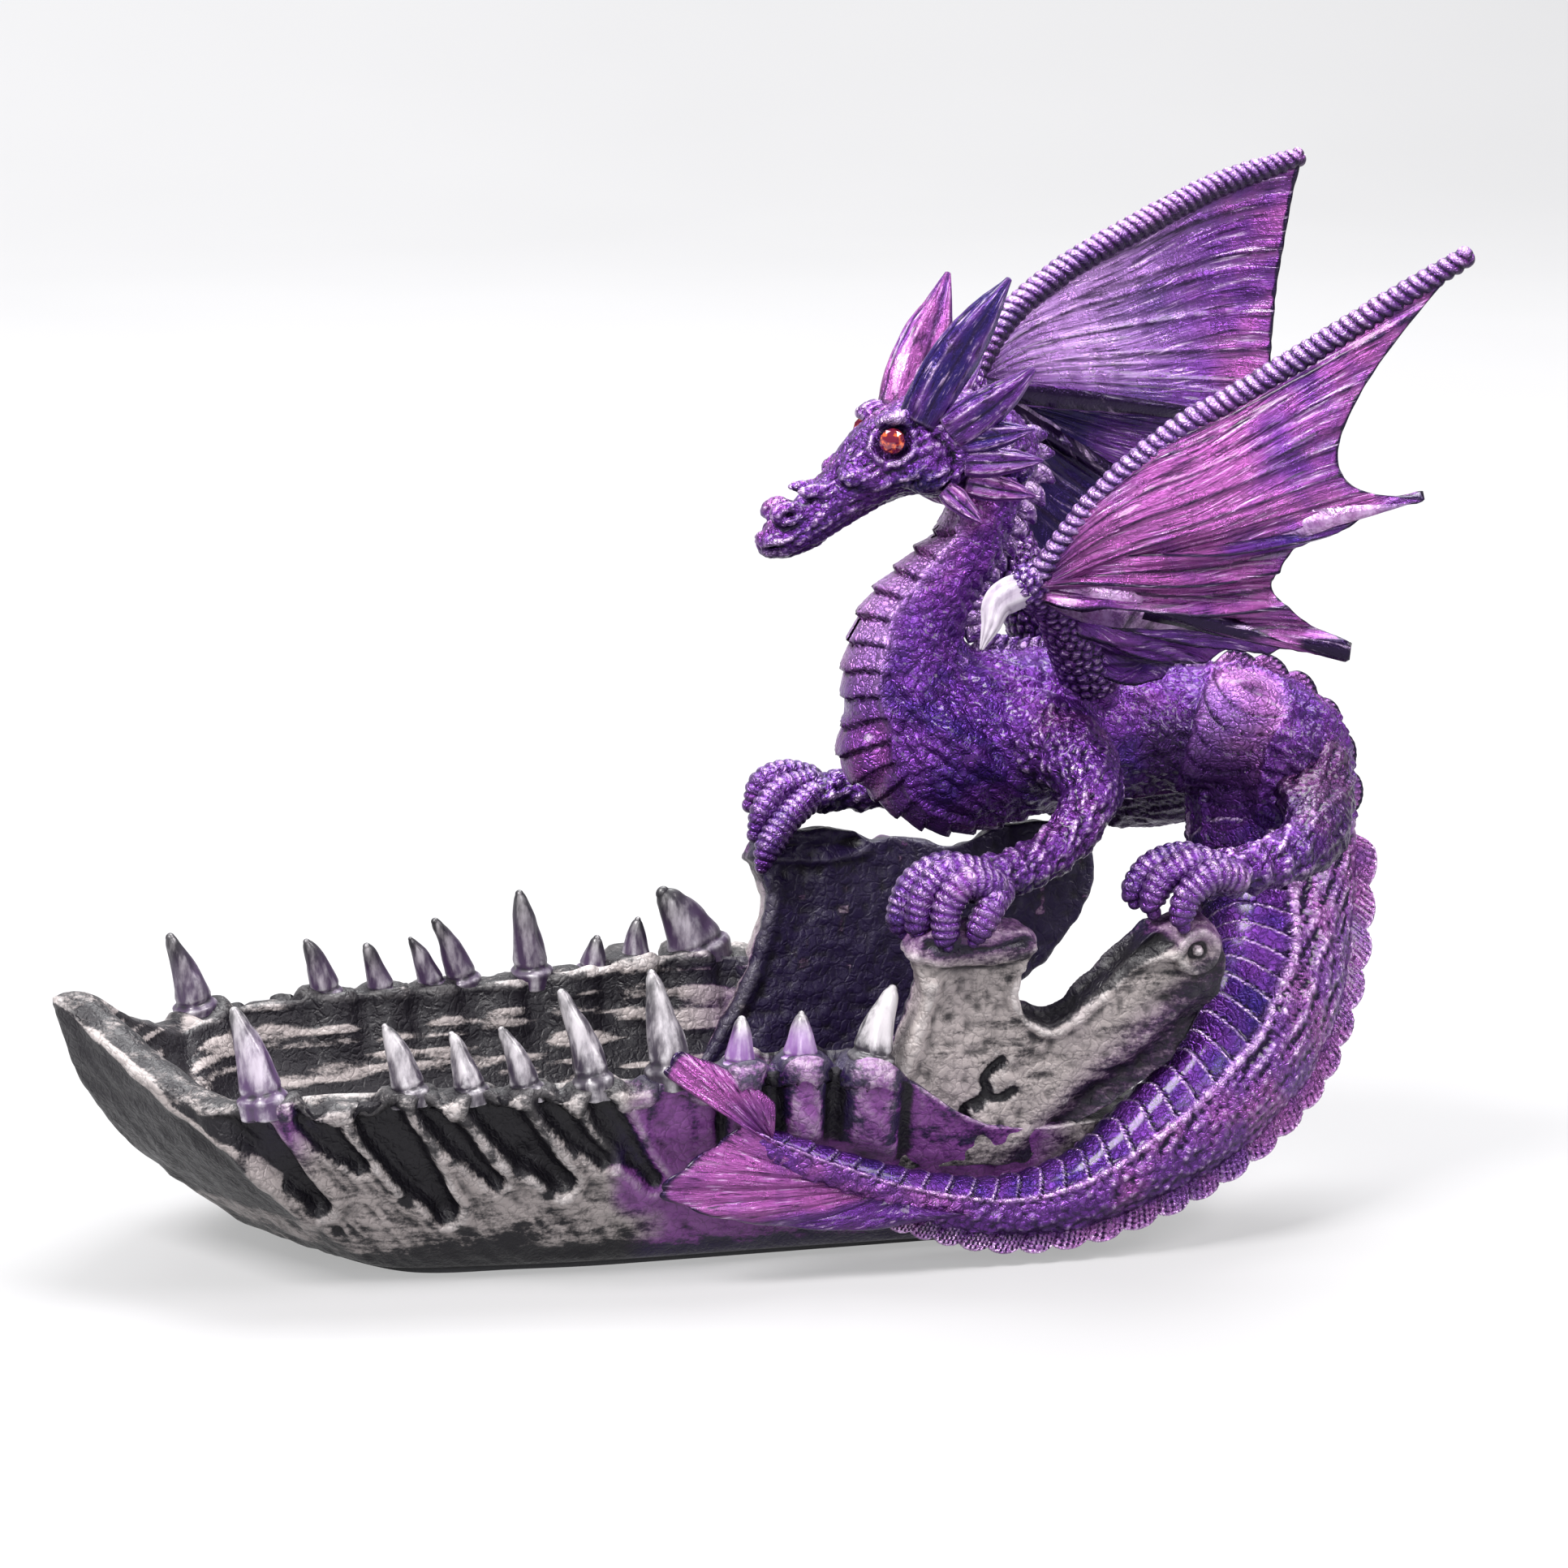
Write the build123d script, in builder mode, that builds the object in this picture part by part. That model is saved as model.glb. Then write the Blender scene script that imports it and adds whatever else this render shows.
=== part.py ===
"""Dragon and jawbone dice tower, a painted polyresin figure glued up from separate castings.

A beast's lower jaw makes the dice tray. Its two branches stand up at the back, and a winged
dragon perches on them, its tail wrapped round the -Y side. Dice are dropped between the two
branches, under the belly, and run forward into the tray.

Millimetres. +Z is up and the jaw points along -X, with the XZ plane as its mid plane.
The origin is on the surface that it stands on, under the middle of the jaw.
"""

from build123d import *
import os

os.makedirs("parts", exist_ok=True)

# Driving dimensions
FELT = 1.2  # thickness of the felt under the base
TRAY_FLOOR = 13.0  # height of the inside floor of the tray
WALL = 9.0  # thickness of the jaw's side walls at the rim
RIM = 46.0  # height of the rim between the teeth
TIP_HEIGHT = 61.0  # height of the beak at the front of the jaw
TIP_X = -162.5
REAR_X = 90.0  # back end of the jaw casting
BRANCH_FOOT_Y = 41.0  # middle of each upright jaw branch, carried down to z = 0
BRANCH_LEAN = 10.5  # degrees that a branch leans outwards
BRANCH_THICK = 10.0
FAR_FORWARD = 9.0  # how much further forward the +Y branch and the feet on it are
FAR_TOOTH = 0.86  # height of a +Y tooth against its -Y partner
MEMBRANE = 3.4  # thickness of the wings' skin
PEG_RADIUS = 2.4
PEG_LENGTH = 5.0
GLUE_GAP = 0.1  # radial gap round a glued peg
NEAR, FAR = -1, 1  # the sides of the mid plane: near is -Y


def side_name(side):
    return "near" if side == NEAR else "far"


def lofted_limb(stations):
    """A loft through ellipses. A station is a centre, a half width and a half height."""
    centres = [Vector(*centre) for centre, _, _ in stations]
    with BuildPart() as limb:
        for i, (_, half_width, half_height) in enumerate(stations):
            ahead = centres[min(i + 1, len(centres) - 1)]
            behind = centres[max(i - 1, 0)]
            along = (ahead - behind).normalized()
            across = Vector(0, 1, 0) - along * along.Y
            with BuildSketch(Plane(origin=centres[i], x_dir=across, z_dir=along)):
                Ellipse(half_width, half_height)
        loft()
    return limb.part


def on_side(stations, side):
    """The same stations with y counted outwards from the mid plane."""
    return [((x, side * y, z), wide, high) for (x, y, z), wide, high in stations]


def largest(part):
    """The biggest solid of a cut piece, without the crumbs that a cut can leave."""
    return part.solids().sort_by(SortBy.VOLUME)[-1]


def cut_piece(piece, *neighbours):
    """The piece with its neighbours taken out of it, so that the two meet face to face."""
    with BuildPart() as cut:
        add(piece)
        for neighbour in neighbours:
            add(neighbour, mode=Mode.SUBTRACT)
    return largest(cut.part)


def peg(start, end, radius=PEG_RADIUS):
    """A round tenon between two points."""
    way = Vector(*end) - Vector(*start)
    with BuildPart() as tenon:
        with BuildSketch(Plane(origin=start, z_dir=way.normalized())):
            Circle(radius)
        extrude(amount=way.length)
    return tenon.part


def export(part, name):
    part.label = name
    export_step(part, f"parts/{name}.step")


# ---------------------------------------------------------------- the jaw


BOW = [(0.34, 0.64), (0.56, 0.86), (1.13, 0.95)]  # the bow's curve, in half widths


def jaw_outline(height, nose_x, half_width, rear_x):
    """One level of the jaw in plan: a blunt bow, long sides and a rounded back."""
    with BuildSketch(Plane.XY.offset(height)) as level:
        with BuildLine():
            for side in (NEAR, FAR):
                Spline(
                    (nose_x, 0),
                    *[(nose_x + a * half_width, side * b * half_width) for a, b in BOW],
                    (-40, side * half_width),
                    tangents=[(0.45, side), (1, 0)],
                )
                Line((-40, side * half_width), (rear_x - 25, side * 0.93 * half_width))
                Spline(
                    (rear_x - 25, side * 0.93 * half_width),
                    (rear_x, 0),
                    tangents=[(1, -side * 0.03), (0, -side)],
                )
        make_face()
    return level.sketch


def jaw_block(levels):
    """A loft through levels, each of them a height, nose x, half width and rear x."""
    with BuildPart() as block:
        for level in levels:
            add(jaw_outline(*level))
        loft()
    return block.part


OUTSIDE_LEVELS = [
    (FELT, -108, 37, REAR_X - 8),
    (12, -127, 46, REAR_X - 4),
    (28, -146, 53, REAR_X),
    (46, -157, 59, REAR_X + 2),
    (TIP_HEIGHT + 3, TIP_X, 61, REAR_X + 2),
]
INSIDE_LEVELS = [
    (TRAY_FLOOR, -104, 33, REAR_X - 22),
    (28, -131, 43, REAR_X - 14),
    (46, -146, 59 - WALL, REAR_X - 10),
    (TIP_HEIGHT + 6, -156, 61 - WALL, REAR_X - 8),
]


def rim_trim():
    """All that is above the rim line, from the beak back to the end of the jaw."""
    top = TIP_HEIGHT + 20
    with BuildPart() as above:
        with BuildSketch(Plane.XZ):
            with BuildLine():
                Spline(
                    (TIP_X - 8, TIP_HEIGHT + 8),
                    (TIP_X + 5, TIP_HEIGHT - 4),
                    (-135, RIM - 1),
                    (-110, RIM),
                )
                Line((-110, RIM), (-40, RIM))
                Spline((-40, RIM), (-12, 51), (14, 50), (34, 30), tangents=[(1, 0), (0.4, -1)])
                Line((34, 30), (REAR_X + 10, 30))
                Line((REAR_X + 10, 30), (REAR_X + 10, top))
                Line((REAR_X + 10, top), (TIP_X - 8, top))
                Line((TIP_X - 8, top), (TIP_X - 8, TIP_HEIGHT + 8))
            make_face()
        extrude(amount=80, both=True)
    return above.part


def throat_slope():
    """The ramp at the back of the tray, which turns falling dice forward."""
    with BuildPart() as ramp:
        with BuildSketch(Plane.XZ):
            Polygon((2, 10), (REAR_X - 6, 10), (REAR_X - 6, 29), (74, 29), (30, 16), align=None)
        extrude(amount=48, both=True)
        add(jaw_block(OUTSIDE_LEVELS), mode=Mode.INTERSECT)
    return ramp.part


# A tooth is its place along the jaw, outward place, crown height, base radius and sweep of its tip.
TEETH = [
    (-121.5, 47.5, 23, 5.4, (-5.5, -3)),
    (-89.5, 51.5, 18, 4.4, (-5.5, -2)),
    (-75.5, 52.5, 15, 4.0, (-5.5, -2)),
    (-62.5, 53.5, 14, 3.6, (-5.0, -1)),
    (-48.5, 54.5, 21, 4.8, (-5.5, -3)),
    (-31.5, 55.0, 25, 5.6, (-5.0, -3)),
    (-16.5, 55.5, 10, 3.8, (0.5, -1)),
    (-4.0, 55.5, 11, 4.2, (-0.5, -1)),
    (11.0, 55.5, 18, 5.4, (6.0, -1)),
]
BURIED = 4.0  # how far a crown starts below the rim, before it is trimmed to it


def rim_height(x):
    """Rim height at a tooth, as rim_trim has it."""
    return RIM if x < -35 else 46 + 0.14 * (x + 35)


def tooth(side, x, y, height, radius, sweep):
    """A curved crown with its round root peg."""
    lean_x, lean_y = sweep
    base = rim_height(x) - BURIED
    full = height + BURIED
    stations = [
        ((x + lean_x * s**2, side * (y + lean_y * s**2), base + full * s), radius * r, radius * r)
        for s, r in ((0, 1.0), (0.3, 0.86), (0.6, 0.6), (0.85, 0.34), (1.0, 0.12))
    ]
    with BuildPart() as crown:
        for centre, wide, high in stations:
            with BuildSketch(Plane(origin=centre)):
                Circle(wide)
        loft()
    return crown.part


with BuildPart() as jaw_tray:
    add(jaw_block(OUTSIDE_LEVELS))
    add(jaw_block(INSIDE_LEVELS), mode=Mode.SUBTRACT)
    add(throat_slope())
    add(rim_trim(), mode=Mode.SUBTRACT)
tray_body = largest(jaw_tray.part)

pieces = {"jaw_tray": tray_body}
tenons = []  # guest, host, start, end and radius of each glued peg

for side in (NEAR, FAR):
    for number, (x, y, height, radius, sweep) in enumerate(TEETH, start=1):
        name = f"tooth_{side_name(side)}_{number}"
        if side == FAR:
            height *= FAR_TOOTH
            x -= 1.2 * max(0, number - 4)
        pieces[name] = cut_piece(tooth(side, x, y, height, radius, sweep), tray_body)
        bottom = rim_height(x) - BURIED - PEG_LENGTH
        top = bottom + PEG_LENGTH + 2 * BURIED
        tenons.append((name, "jaw_tray", (x, side * (y - 3.5), bottom), (x, side * y, top), 2.0))

with BuildPart() as felt:
    with BuildSketch():
        add(jaw_outline(0, -105, 35, REAR_X - 11))
    extrude(amount=FELT)
pieces["felt_pad"] = felt.part


# ------------------------------------------------- the jaw's upright branches

COND_X, COND_Z = 88.0, 69.0  # the knuckle at the back of a branch
COND_RADIUS = 9.0


def jaw_branch(side):
    """One upright branch: a flat plate with a broad horn in front and a knuckle behind."""
    foot = Vector(-FAR_FORWARD if side == FAR else 0, side * BRANCH_FOOT_Y, 0)
    lean = Plane(origin=foot, x_dir=(1, 0, 0), z_dir=(0, -1, 0)).rotated((-BRANCH_LEAN * side, 0, 0))
    with BuildPart() as branch:
        with BuildSketch(lean):
            with BuildLine():
                Polyline((6, 22), (17, 36), (25, 52), (29, 66), (24, 74), (26, 81), (52, 80), (53, 73))
                Spline((53, 73), (48, 66), (58, 59), (68, 64), (76, 76))
                Polyline((76, 76), (94, 78), (97, 68), (93, 58), (82, 44), (68, 34), (52, 22), (6, 22))
            make_face()
        extrude(amount=BRANCH_THICK / 2, both=True)
        with BuildSketch(lean):
            with Locations((COND_X, COND_Z)):
                Circle(COND_RADIUS)
        extrude(amount=0.8 * BRANCH_THICK, both=True)
    return branch.part


for side in (NEAR, FAR):
    name = f"{side_name(side)}_branch"
    pieces[name] = cut_piece(jaw_branch(side), tray_body)
    for x in (30, 56):
        x -= FAR_FORWARD if side == FAR else 0
        tenons.append((name, "jaw_tray", (x, side * 42, 18), (x, side * 47.5, 36), 2.8))


# ------------------------------------------------------------- the dragon's body

# Each station is a centre, a half width across the body and a half height.
NECK = [
    ((58, 0, 171), 8, 8.5),
    ((53, 0, 157), 8.5, 8),
    ((45, 0, 147), 9.5, 10),
    ((39, 0, 136), 12, 13.5),
    ((40, 0, 123), 15, 17),
    ((48, 0, 112), 17, 18),
]
CHEST = [
    ((27, 0, 110), 9, 9),
    ((34, 0, 110), 16, 16),
    ((48, 0, 110), 22, 21.5),
    ((68, 0, 112), 23, 20),
    ((90, 0, 112), 20, 16.5),
    ((108, 0, 111), 17, 15),
]
RUMP = [
    ((102, 0, 111), 15, 14),
    ((117, 0, 111), 18, 16),
    ((129, 0, 104), 19, 18),
    ((134, 0, 93), 18, 17),
    ((134, -1, 84), 16, 16),
]
TAIL = [
    ((134, -1, 84), 15, 16),
    ((132, -8, 70), 14, 15),
    ((126, -22, 55), 13, 14),
    ((116, -36, 42), 12, 12.5),
    ((102, -47, 30.5), 10.5, 11),
    ((84, -53, 21), 9, 9.5),
    ((64, -55, 14.5), 7, 8),
    ((45, -56, 13), 5.5, 7),
    ((25, -57.5, 17), 4.5, 6),
    ((8, -59.5, 23.5), 4, 5),
    ((-8, -61, 31), 3.5, 4),
]
HEAD = [
    ((63, 0, 176), 8, 9),
    ((55, 0, 180.5), 12, 12),
    ((43, 0, 181.5), 13.5, 12.5),
    ((33, 0, 178.5), 12.5, 10.5),
    ((22, 0, 170.5), 8.5, 8.5),
    ((13, 0, 163), 7, 7),
    ((7, 0, 159), 6, 5.5),
    ((3.5, 0, 157), 4, 3),
]
NECK_CUT = Plane(origin=(57, 0, 169), z_dir=(0.3, 0, 1))  # the joint line under the head

with BuildPart() as dragon_body:
    add(lofted_limb(NECK))
    add(lofted_limb(CHEST))
    add(lofted_limb(RUMP))
    split(bisect_by=NECK_CUT, keep=Keep.BOTTOM)
body = largest(dragon_body.part)
pieces["dragon_body"] = body

EYE_RADIUS = 3.8
HORN_FOOT_RADIUS = 4.4


def eye(side):
    """A round glass gem, half sunk into the side of the head."""
    with BuildPart() as gem:
        with Locations((31.5, side * 11.5, 182.5)):
            Sphere(EYE_RADIUS)
    return gem.part


# Stations of a long upper horn and of the shorter frill below it.
HORN = [((44, 8, 190), 4, 5), ((47, 10, 200), 3.4, 5.5), ((51, 12.5, 210), 2.4, 4), ((56, 15, 220), 0.8, 1.2)]
FRILL = [((48, 11, 184), 3, 5.5), ((54, 15, 191), 2.4, 5), ((62, 20, 198), 0.8, 1.5)]

with BuildPart() as dragon_head:
    add(lofted_limb(HEAD))
    add(body, mode=Mode.SUBTRACT)
    for side in (NEAR, FAR):
        add(eye(side), mode=Mode.SUBTRACT)
head = largest(dragon_head.part)
pieces["dragon_head"] = head
tenons.append(("dragon_head", "dragon_body", (52, 0, 156), (59, 0, 174), 3.0))

for side in (NEAR, FAR):
    label = side_name(side)
    pieces[f"eye_{label}"] = eye(side)
    for kind, stations in (("horn", HORN), ("frill", FRILL)):
        name = f"{kind}_{label}"
        upper = [pieces[f"horn_{label}"]] if kind == "frill" else []
        pieces[name] = cut_piece(lofted_limb(on_side(stations, side)), head, *upper)
        (x, y, z), _, _ = stations[0]
        tenons.append((name, "dragon_head", (x - 1, side * (y - 4), z - 5), (x + 2, side * (y + 1), z + 5), 1.4))


# ------------------------------------------------------------------- the legs


def paw(x, y, z, side, pitch):
    """A closed paw, resting on the bone with its toes forward."""
    lumps = [((x + 14, y - 1, z - pitch), 5.5, 5.5), ((x + 4, y, z), 7.5, 7), ((x - 8, y + 1, z - pitch), 7, 5.5)]
    return lofted_limb(on_side(lumps, side))


def leg(stations, foot, side):
    forward = -FAR_FORWARD if side == FAR else 0
    moved = [((x + forward * i / (len(stations) - 1), y, z), w, h) for i, ((x, y, z), w, h) in enumerate(stations)]
    x, y, z, pitch = foot
    with BuildPart() as limb:
        add(lofted_limb(on_side(moved, side)))
        add(paw(x + forward, y, z, side, pitch))
    return limb.part


FORELEG = [((64, 16, 112), 10, 12), ((76, 30, 111), 9, 10.5), ((76, 39, 105), 7.5, 8.5), ((66, 45, 95), 6, 6.5), ((45, 53, 88), 5, 5.5)]
HINDLEG = [((124, 14, 106), 12, 15), ((126, 26, 101), 9, 13), ((122, 37, 93), 7, 9), ((100, 52, 87), 5, 6)]
FORE_PAW = (36, 55, 88, 3)
HIND_PAW = (92, 56, 86, 1)

for side in (NEAR, FAR):
    label = side_name(side)
    branch = pieces[f"{label}_branch"]
    forward = -FAR_FORWARD if side == FAR else 0
    for kind, stations, foot in (("foreleg", FORELEG, FORE_PAW), ("hindleg", HINDLEG, HIND_PAW)):
        name = f"{kind}_{label}"
        pieces[name] = cut_piece(leg(stations, foot, side), branch, body)
        x, y, z, _ = foot
        x += forward
        tenons.append((name, f"{label}_branch", (x + 1, side * (y - 1), z - 18), (x + 1, side * (y - 1), z), PEG_RADIUS))
        (x, y, z), _, _ = stations[0]
        tenons.append((name, "dragon_body", (x, side * (y - 7), z), (x, side * (y + 9), z), 3.0))


# ------------------------------------------------------------------- the tail

with BuildPart() as tail_limb:
    add(lofted_limb(TAIL))
    add(body, mode=Mode.SUBTRACT)
    for neighbour in ("jaw_tray", "near_branch", "hindleg_near", "hindleg_far"):
        add(pieces[neighbour], mode=Mode.SUBTRACT)
tail = largest(tail_limb.part)
pieces["tail"] = tail
tenons.append(("tail", "dragon_body", (134, -1, 74), (134, -1, 96), 4.0))

FIN_OUTLINE = [
    (14, 13), (33, 13), (12, 24), (0, 34), (-7, 47), (-19, 48), (-36, 53),
    (-27, 43), (-30, 33), (-37, 22), (-20, 16), (0, 12.5),
]
FIN_PLANE = Plane(origin=(0, -66, 0), x_dir=(1, 0, 0), z_dir=(0, 1, 0))
with BuildPart() as tail_fin:
    with BuildSketch(FIN_PLANE):
        Polygon(*[(x, -z) for x, z in FIN_OUTLINE], align=None)
    extrude(amount=13)
    add(tray_body, mode=Mode.SUBTRACT)
    add(tail, mode=Mode.SUBTRACT)
    for number in (5, 6, 7, 8):
        add(pieces[f"tooth_near_{number}"], mode=Mode.SUBTRACT)
pieces["tail_fin"] = largest(tail_fin.part)


# ------------------------------------------------------------------- the wings


def skin(corner, along, last, points):
    """A flat stretch of wing skin. Between its tips the edge bends in through a scallop."""
    out = (Vector(*along) - Vector(*corner)).normalized()
    normal = out.cross(Vector(*last) - Vector(*corner)).normalized()
    flat = Plane(origin=corner, x_dir=out, z_dir=normal)
    local = [flat.to_local_coords(Vector(*point)) for point in points]
    spots = [(spot.X, spot.Y) for spot in local]
    with BuildPart() as sheet:
        with BuildSketch(flat):
            with BuildLine():
                Line((0, 0), spots[0])
                for i in range(0, len(spots) - 1, 2):
                    tip, scallop, next_tip = (Vector(*spot) for spot in spots[i : i + 3])
                    Bezier(tip, scallop * 2 - (tip + next_tip) / 2, next_tip)
                Line(spots[-1], (0, 0))
            make_face()
        extrude(amount=MEMBRANE / 2, both=True)
    return sheet.part


def wing(shoulder, wrist, edge, tips, scallops, root):
    """A half open wing: the arm, the leading edge, two fingers and two flat stretches of skin."""
    first, second, third = tips
    arm = [(shoulder, 6.5, 7.5), (wrist, 5, 5.5)]
    lead = [(wrist, 5, 5.6), (edge, 4.2, 4.9), (first, 2.9, 3.3)]
    middle = (Vector(*third) + Vector(*root)) / 2 + Vector(-2, 0, 3)
    with BuildPart() as whole:
        add(lofted_limb(arm))
        add(lofted_limb(lead))
        for tip in (second, third):
            add(lofted_limb([(wrist, 3.4, 3.6), (tip, 2.4, 2.6)]))
        add(skin(wrist, first, third, [first, scallops[0], second, scallops[1], third]))
        add(skin(wrist, third, root, [third, tuple(middle), root]))
    return whole.part


WINGS = {
    NEAR: dict(
        shoulder=(76, -16, 128),
        wrist=(57, -39, 152),
        edge=(101, -54, 194),
        tips=[(149.5, -70, 228), (140, -69, 174), (126, -61, 140)],
        scallops=[(118, -64, 187), (111, -58, 161)],
        root=(88, -18, 127),
    ),
    FAR: dict(
        shoulder=(76, 16, 128),
        wrist=(62, 38, 186),
        edge=(106, 55, 221),
        tips=[(159, 70, 238.5), (152, 67, 172), (133, 55, 147)],
        scallops=[(147, 67, 191), (128, 60, 165)],
        root=(88, 18, 127),
    ),
}
CLAW = [((2, 0, 0), 3.5, 3.5), ((-5, -2, -5), 3, 3), ((-13, -5, -13), 0.7, 0.7)]

for side, shape in WINGS.items():
    label = side_name(side)
    name = f"wing_{label}"
    pieces[name] = cut_piece(wing(**shape), body, pieces[f"foreleg_{label}"])
    x, y, z = shape["shoulder"]
    tenons.append((name, "dragon_body", (x + 4, y - 10 * side, z - 11), (x, y, z + 4), 2.8))
    x, y, z = shape["wrist"]
    hook = [((x + a, y + side * b, z + c), w, h) for (a, b, c), w, h in CLAW]
    pieces[f"wing_claw_{label}"] = cut_piece(lofted_limb(hook), pieces[name])
    tenons.append((f"wing_claw_{label}", name, (x + 1, y, z + 1), (x - 7, y - side * -2, z - 7), 1.3))


# --------------------------------------------------- pegs, sockets and files

for guest, host, start, end, radius in tenons:
    with BuildPart() as pegged:
        add(pieces[guest])
        add(peg(start, end, radius - GLUE_GAP))
    with BuildPart() as socketed:
        add(pieces[host])
        add(peg(start, end, radius), mode=Mode.SUBTRACT)
    pieces[guest] = largest(pegged.part)
    pieces[host] = largest(socketed.part)

for name, piece in pieces.items():
    export(piece, name)
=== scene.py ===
import math

import bmesh
import bpy
import numpy as np
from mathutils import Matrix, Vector
from mathutils.kdtree import KDTree


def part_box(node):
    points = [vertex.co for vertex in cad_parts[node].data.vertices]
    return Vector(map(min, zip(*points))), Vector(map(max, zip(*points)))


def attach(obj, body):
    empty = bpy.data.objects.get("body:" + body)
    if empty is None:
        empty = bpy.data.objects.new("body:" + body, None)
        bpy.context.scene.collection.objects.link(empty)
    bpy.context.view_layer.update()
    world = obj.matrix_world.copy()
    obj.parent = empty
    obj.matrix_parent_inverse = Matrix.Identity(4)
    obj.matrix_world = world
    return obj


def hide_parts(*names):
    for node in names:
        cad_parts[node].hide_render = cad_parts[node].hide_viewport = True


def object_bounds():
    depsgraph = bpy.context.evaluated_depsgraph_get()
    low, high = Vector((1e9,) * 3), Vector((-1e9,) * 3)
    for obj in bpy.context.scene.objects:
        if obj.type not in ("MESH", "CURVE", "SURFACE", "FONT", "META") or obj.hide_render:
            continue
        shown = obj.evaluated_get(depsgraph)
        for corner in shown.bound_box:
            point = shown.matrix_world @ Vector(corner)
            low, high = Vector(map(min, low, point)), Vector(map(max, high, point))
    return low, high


# Dragon on a jawbone, a dice tower. Lengths in this script are millimetres until makePiece scales them.
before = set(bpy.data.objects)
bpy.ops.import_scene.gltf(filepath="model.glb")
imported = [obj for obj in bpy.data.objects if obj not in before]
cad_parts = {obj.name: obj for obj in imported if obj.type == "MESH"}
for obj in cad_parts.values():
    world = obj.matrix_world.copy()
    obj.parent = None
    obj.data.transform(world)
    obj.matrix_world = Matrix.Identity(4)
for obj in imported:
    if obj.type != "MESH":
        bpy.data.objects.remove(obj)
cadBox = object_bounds()
mm = 0.001
near, far = -1, 1  # sides of the mid plane, near is -Y


# ---- shape tools

def smoothPath(points, count):  # Catmull-Rom through rows of numbers
    pts = np.array(points, float)
    t = np.linspace(0, len(pts) - 1, count)
    i = np.minimum(t.astype(int), len(pts) - 2)
    f = (t - i)[:, None]
    ends = np.vstack([2 * pts[0] - pts[1], pts, 2 * pts[-1] - pts[-2]])
    a, b, c, d = ends[i], ends[i + 1], ends[i + 2], ends[i + 3]
    return 0.5 * (2 * b + (c - a) * f + (2 * a - 5 * b + 4 * c - d) * f**2 + (3 * b - a - 3 * c + d) * f**3)


def unit(v):
    return v / np.maximum(np.linalg.norm(v, axis=-1, keepdims=True), 1e-9)


def ease(x):
    x = np.clip(x, 0, 1)
    return x * x * (3 - 2 * x)


def bell(x, width):
    return np.exp(-((x / width) ** 2))


def valueNoise(points, size, seed=0):  # smooth lattice noise, 0 to 1
    p = points / size + 100 * (1 + seed)
    cell = np.floor(p).astype(np.int64)
    f = p - cell
    f = f * f * (3 - 2 * f)
    total = np.zeros(len(p))
    for corner in range(8):
        step = np.array([corner & 1, corner >> 1 & 1, corner >> 2 & 1])
        q = cell + step
        mixed = (q[:, 0] * 73856093) ^ (q[:, 1] * 19349663) ^ (q[:, 2] * 83492791)
        mixed = (mixed ^ (mixed >> 13)) * 1274126177 & 0xFFFFFF
        total += mixed / 0xFFFFFF * np.prod(np.where(step == 1, f, 1 - f), axis=1)
    return total


def gridFaces(rows, cols, wrap=True):
    r, c = np.meshgrid(np.arange(rows - 1), np.arange(cols if wrap else cols - 1), indexing="ij")
    a = r * cols + c
    b = r * cols + (c + 1) % cols
    return np.stack([a, b, b + cols, a + cols], -1).reshape(-1, 4).tolist()


def limbFrames(path):  # centre, across and up at each ring
    c = path[:, :3]
    along = unit(np.gradient(c, axis=0))
    across = unit(np.array([0, 1.0, 0]) - along * along[:, 1:2])
    return c, along, across, np.cross(along, across)


def limb(stations, rings=70, around=40, caps=(0.7, 0.7)):
    # stations are x, y, z, half width, half height; gives points, faces, distance along and angle
    path = smoothPath(stations, rings)
    c, along, across, up = limbFrames(path)
    w, h = np.maximum(path[:, 3], 0.05), np.maximum(path[:, 4], 0.05)
    s = np.concatenate([[0], np.cumsum(np.linalg.norm(np.diff(c, axis=0), axis=1))])
    turn = np.radians(np.arange(12, 91, 13)[::-1])
    parts = []
    size = caps[0] * min(w[0], h[0])
    for t in turn:
        parts.append((c[0] - along[0] * size * np.sin(t), across[0], up[0], w[0] * np.cos(t),
                      h[0] * np.cos(t), s[0]))
    for k in range(rings):
        parts.append((c[k], across[k], up[k], w[k], h[k], s[k]))
    size = caps[1] * min(w[-1], h[-1])
    for t in turn[::-1]:
        parts.append((c[-1] + along[-1] * size * np.sin(t), across[-1], up[-1], w[-1] * np.cos(t),
                      h[-1] * np.cos(t), s[-1]))
    angle = np.linspace(0, 2 * np.pi, around, endpoint=False)
    verts = np.array([p[0] + np.outer(np.cos(angle) * p[3], p[1]) + np.outer(np.sin(angle) * p[4],
            p[2]) for p in parts])
    s = np.repeat([p[5] for p in parts], around)
    faces = gridFaces(len(parts), around)
    faces.append(list(range(around))[::-1])
    faces.append(list(range((len(parts) - 1) * around, len(parts) * around)))
    return verts.reshape(-1, 3), faces, s, np.tile(angle, len(parts))


def meshOf(name, parts):
    verts, faces, count = [], [], 0
    for v, f in parts:
        verts.append(v)
        faces += [[i + count for i in face] for face in f]
        count += len(v)
    mesh = bpy.data.meshes.new(name)
    mesh.from_pydata(np.vstack(verts).tolist(), [], faces)
    mesh.validate()
    return mesh


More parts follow.
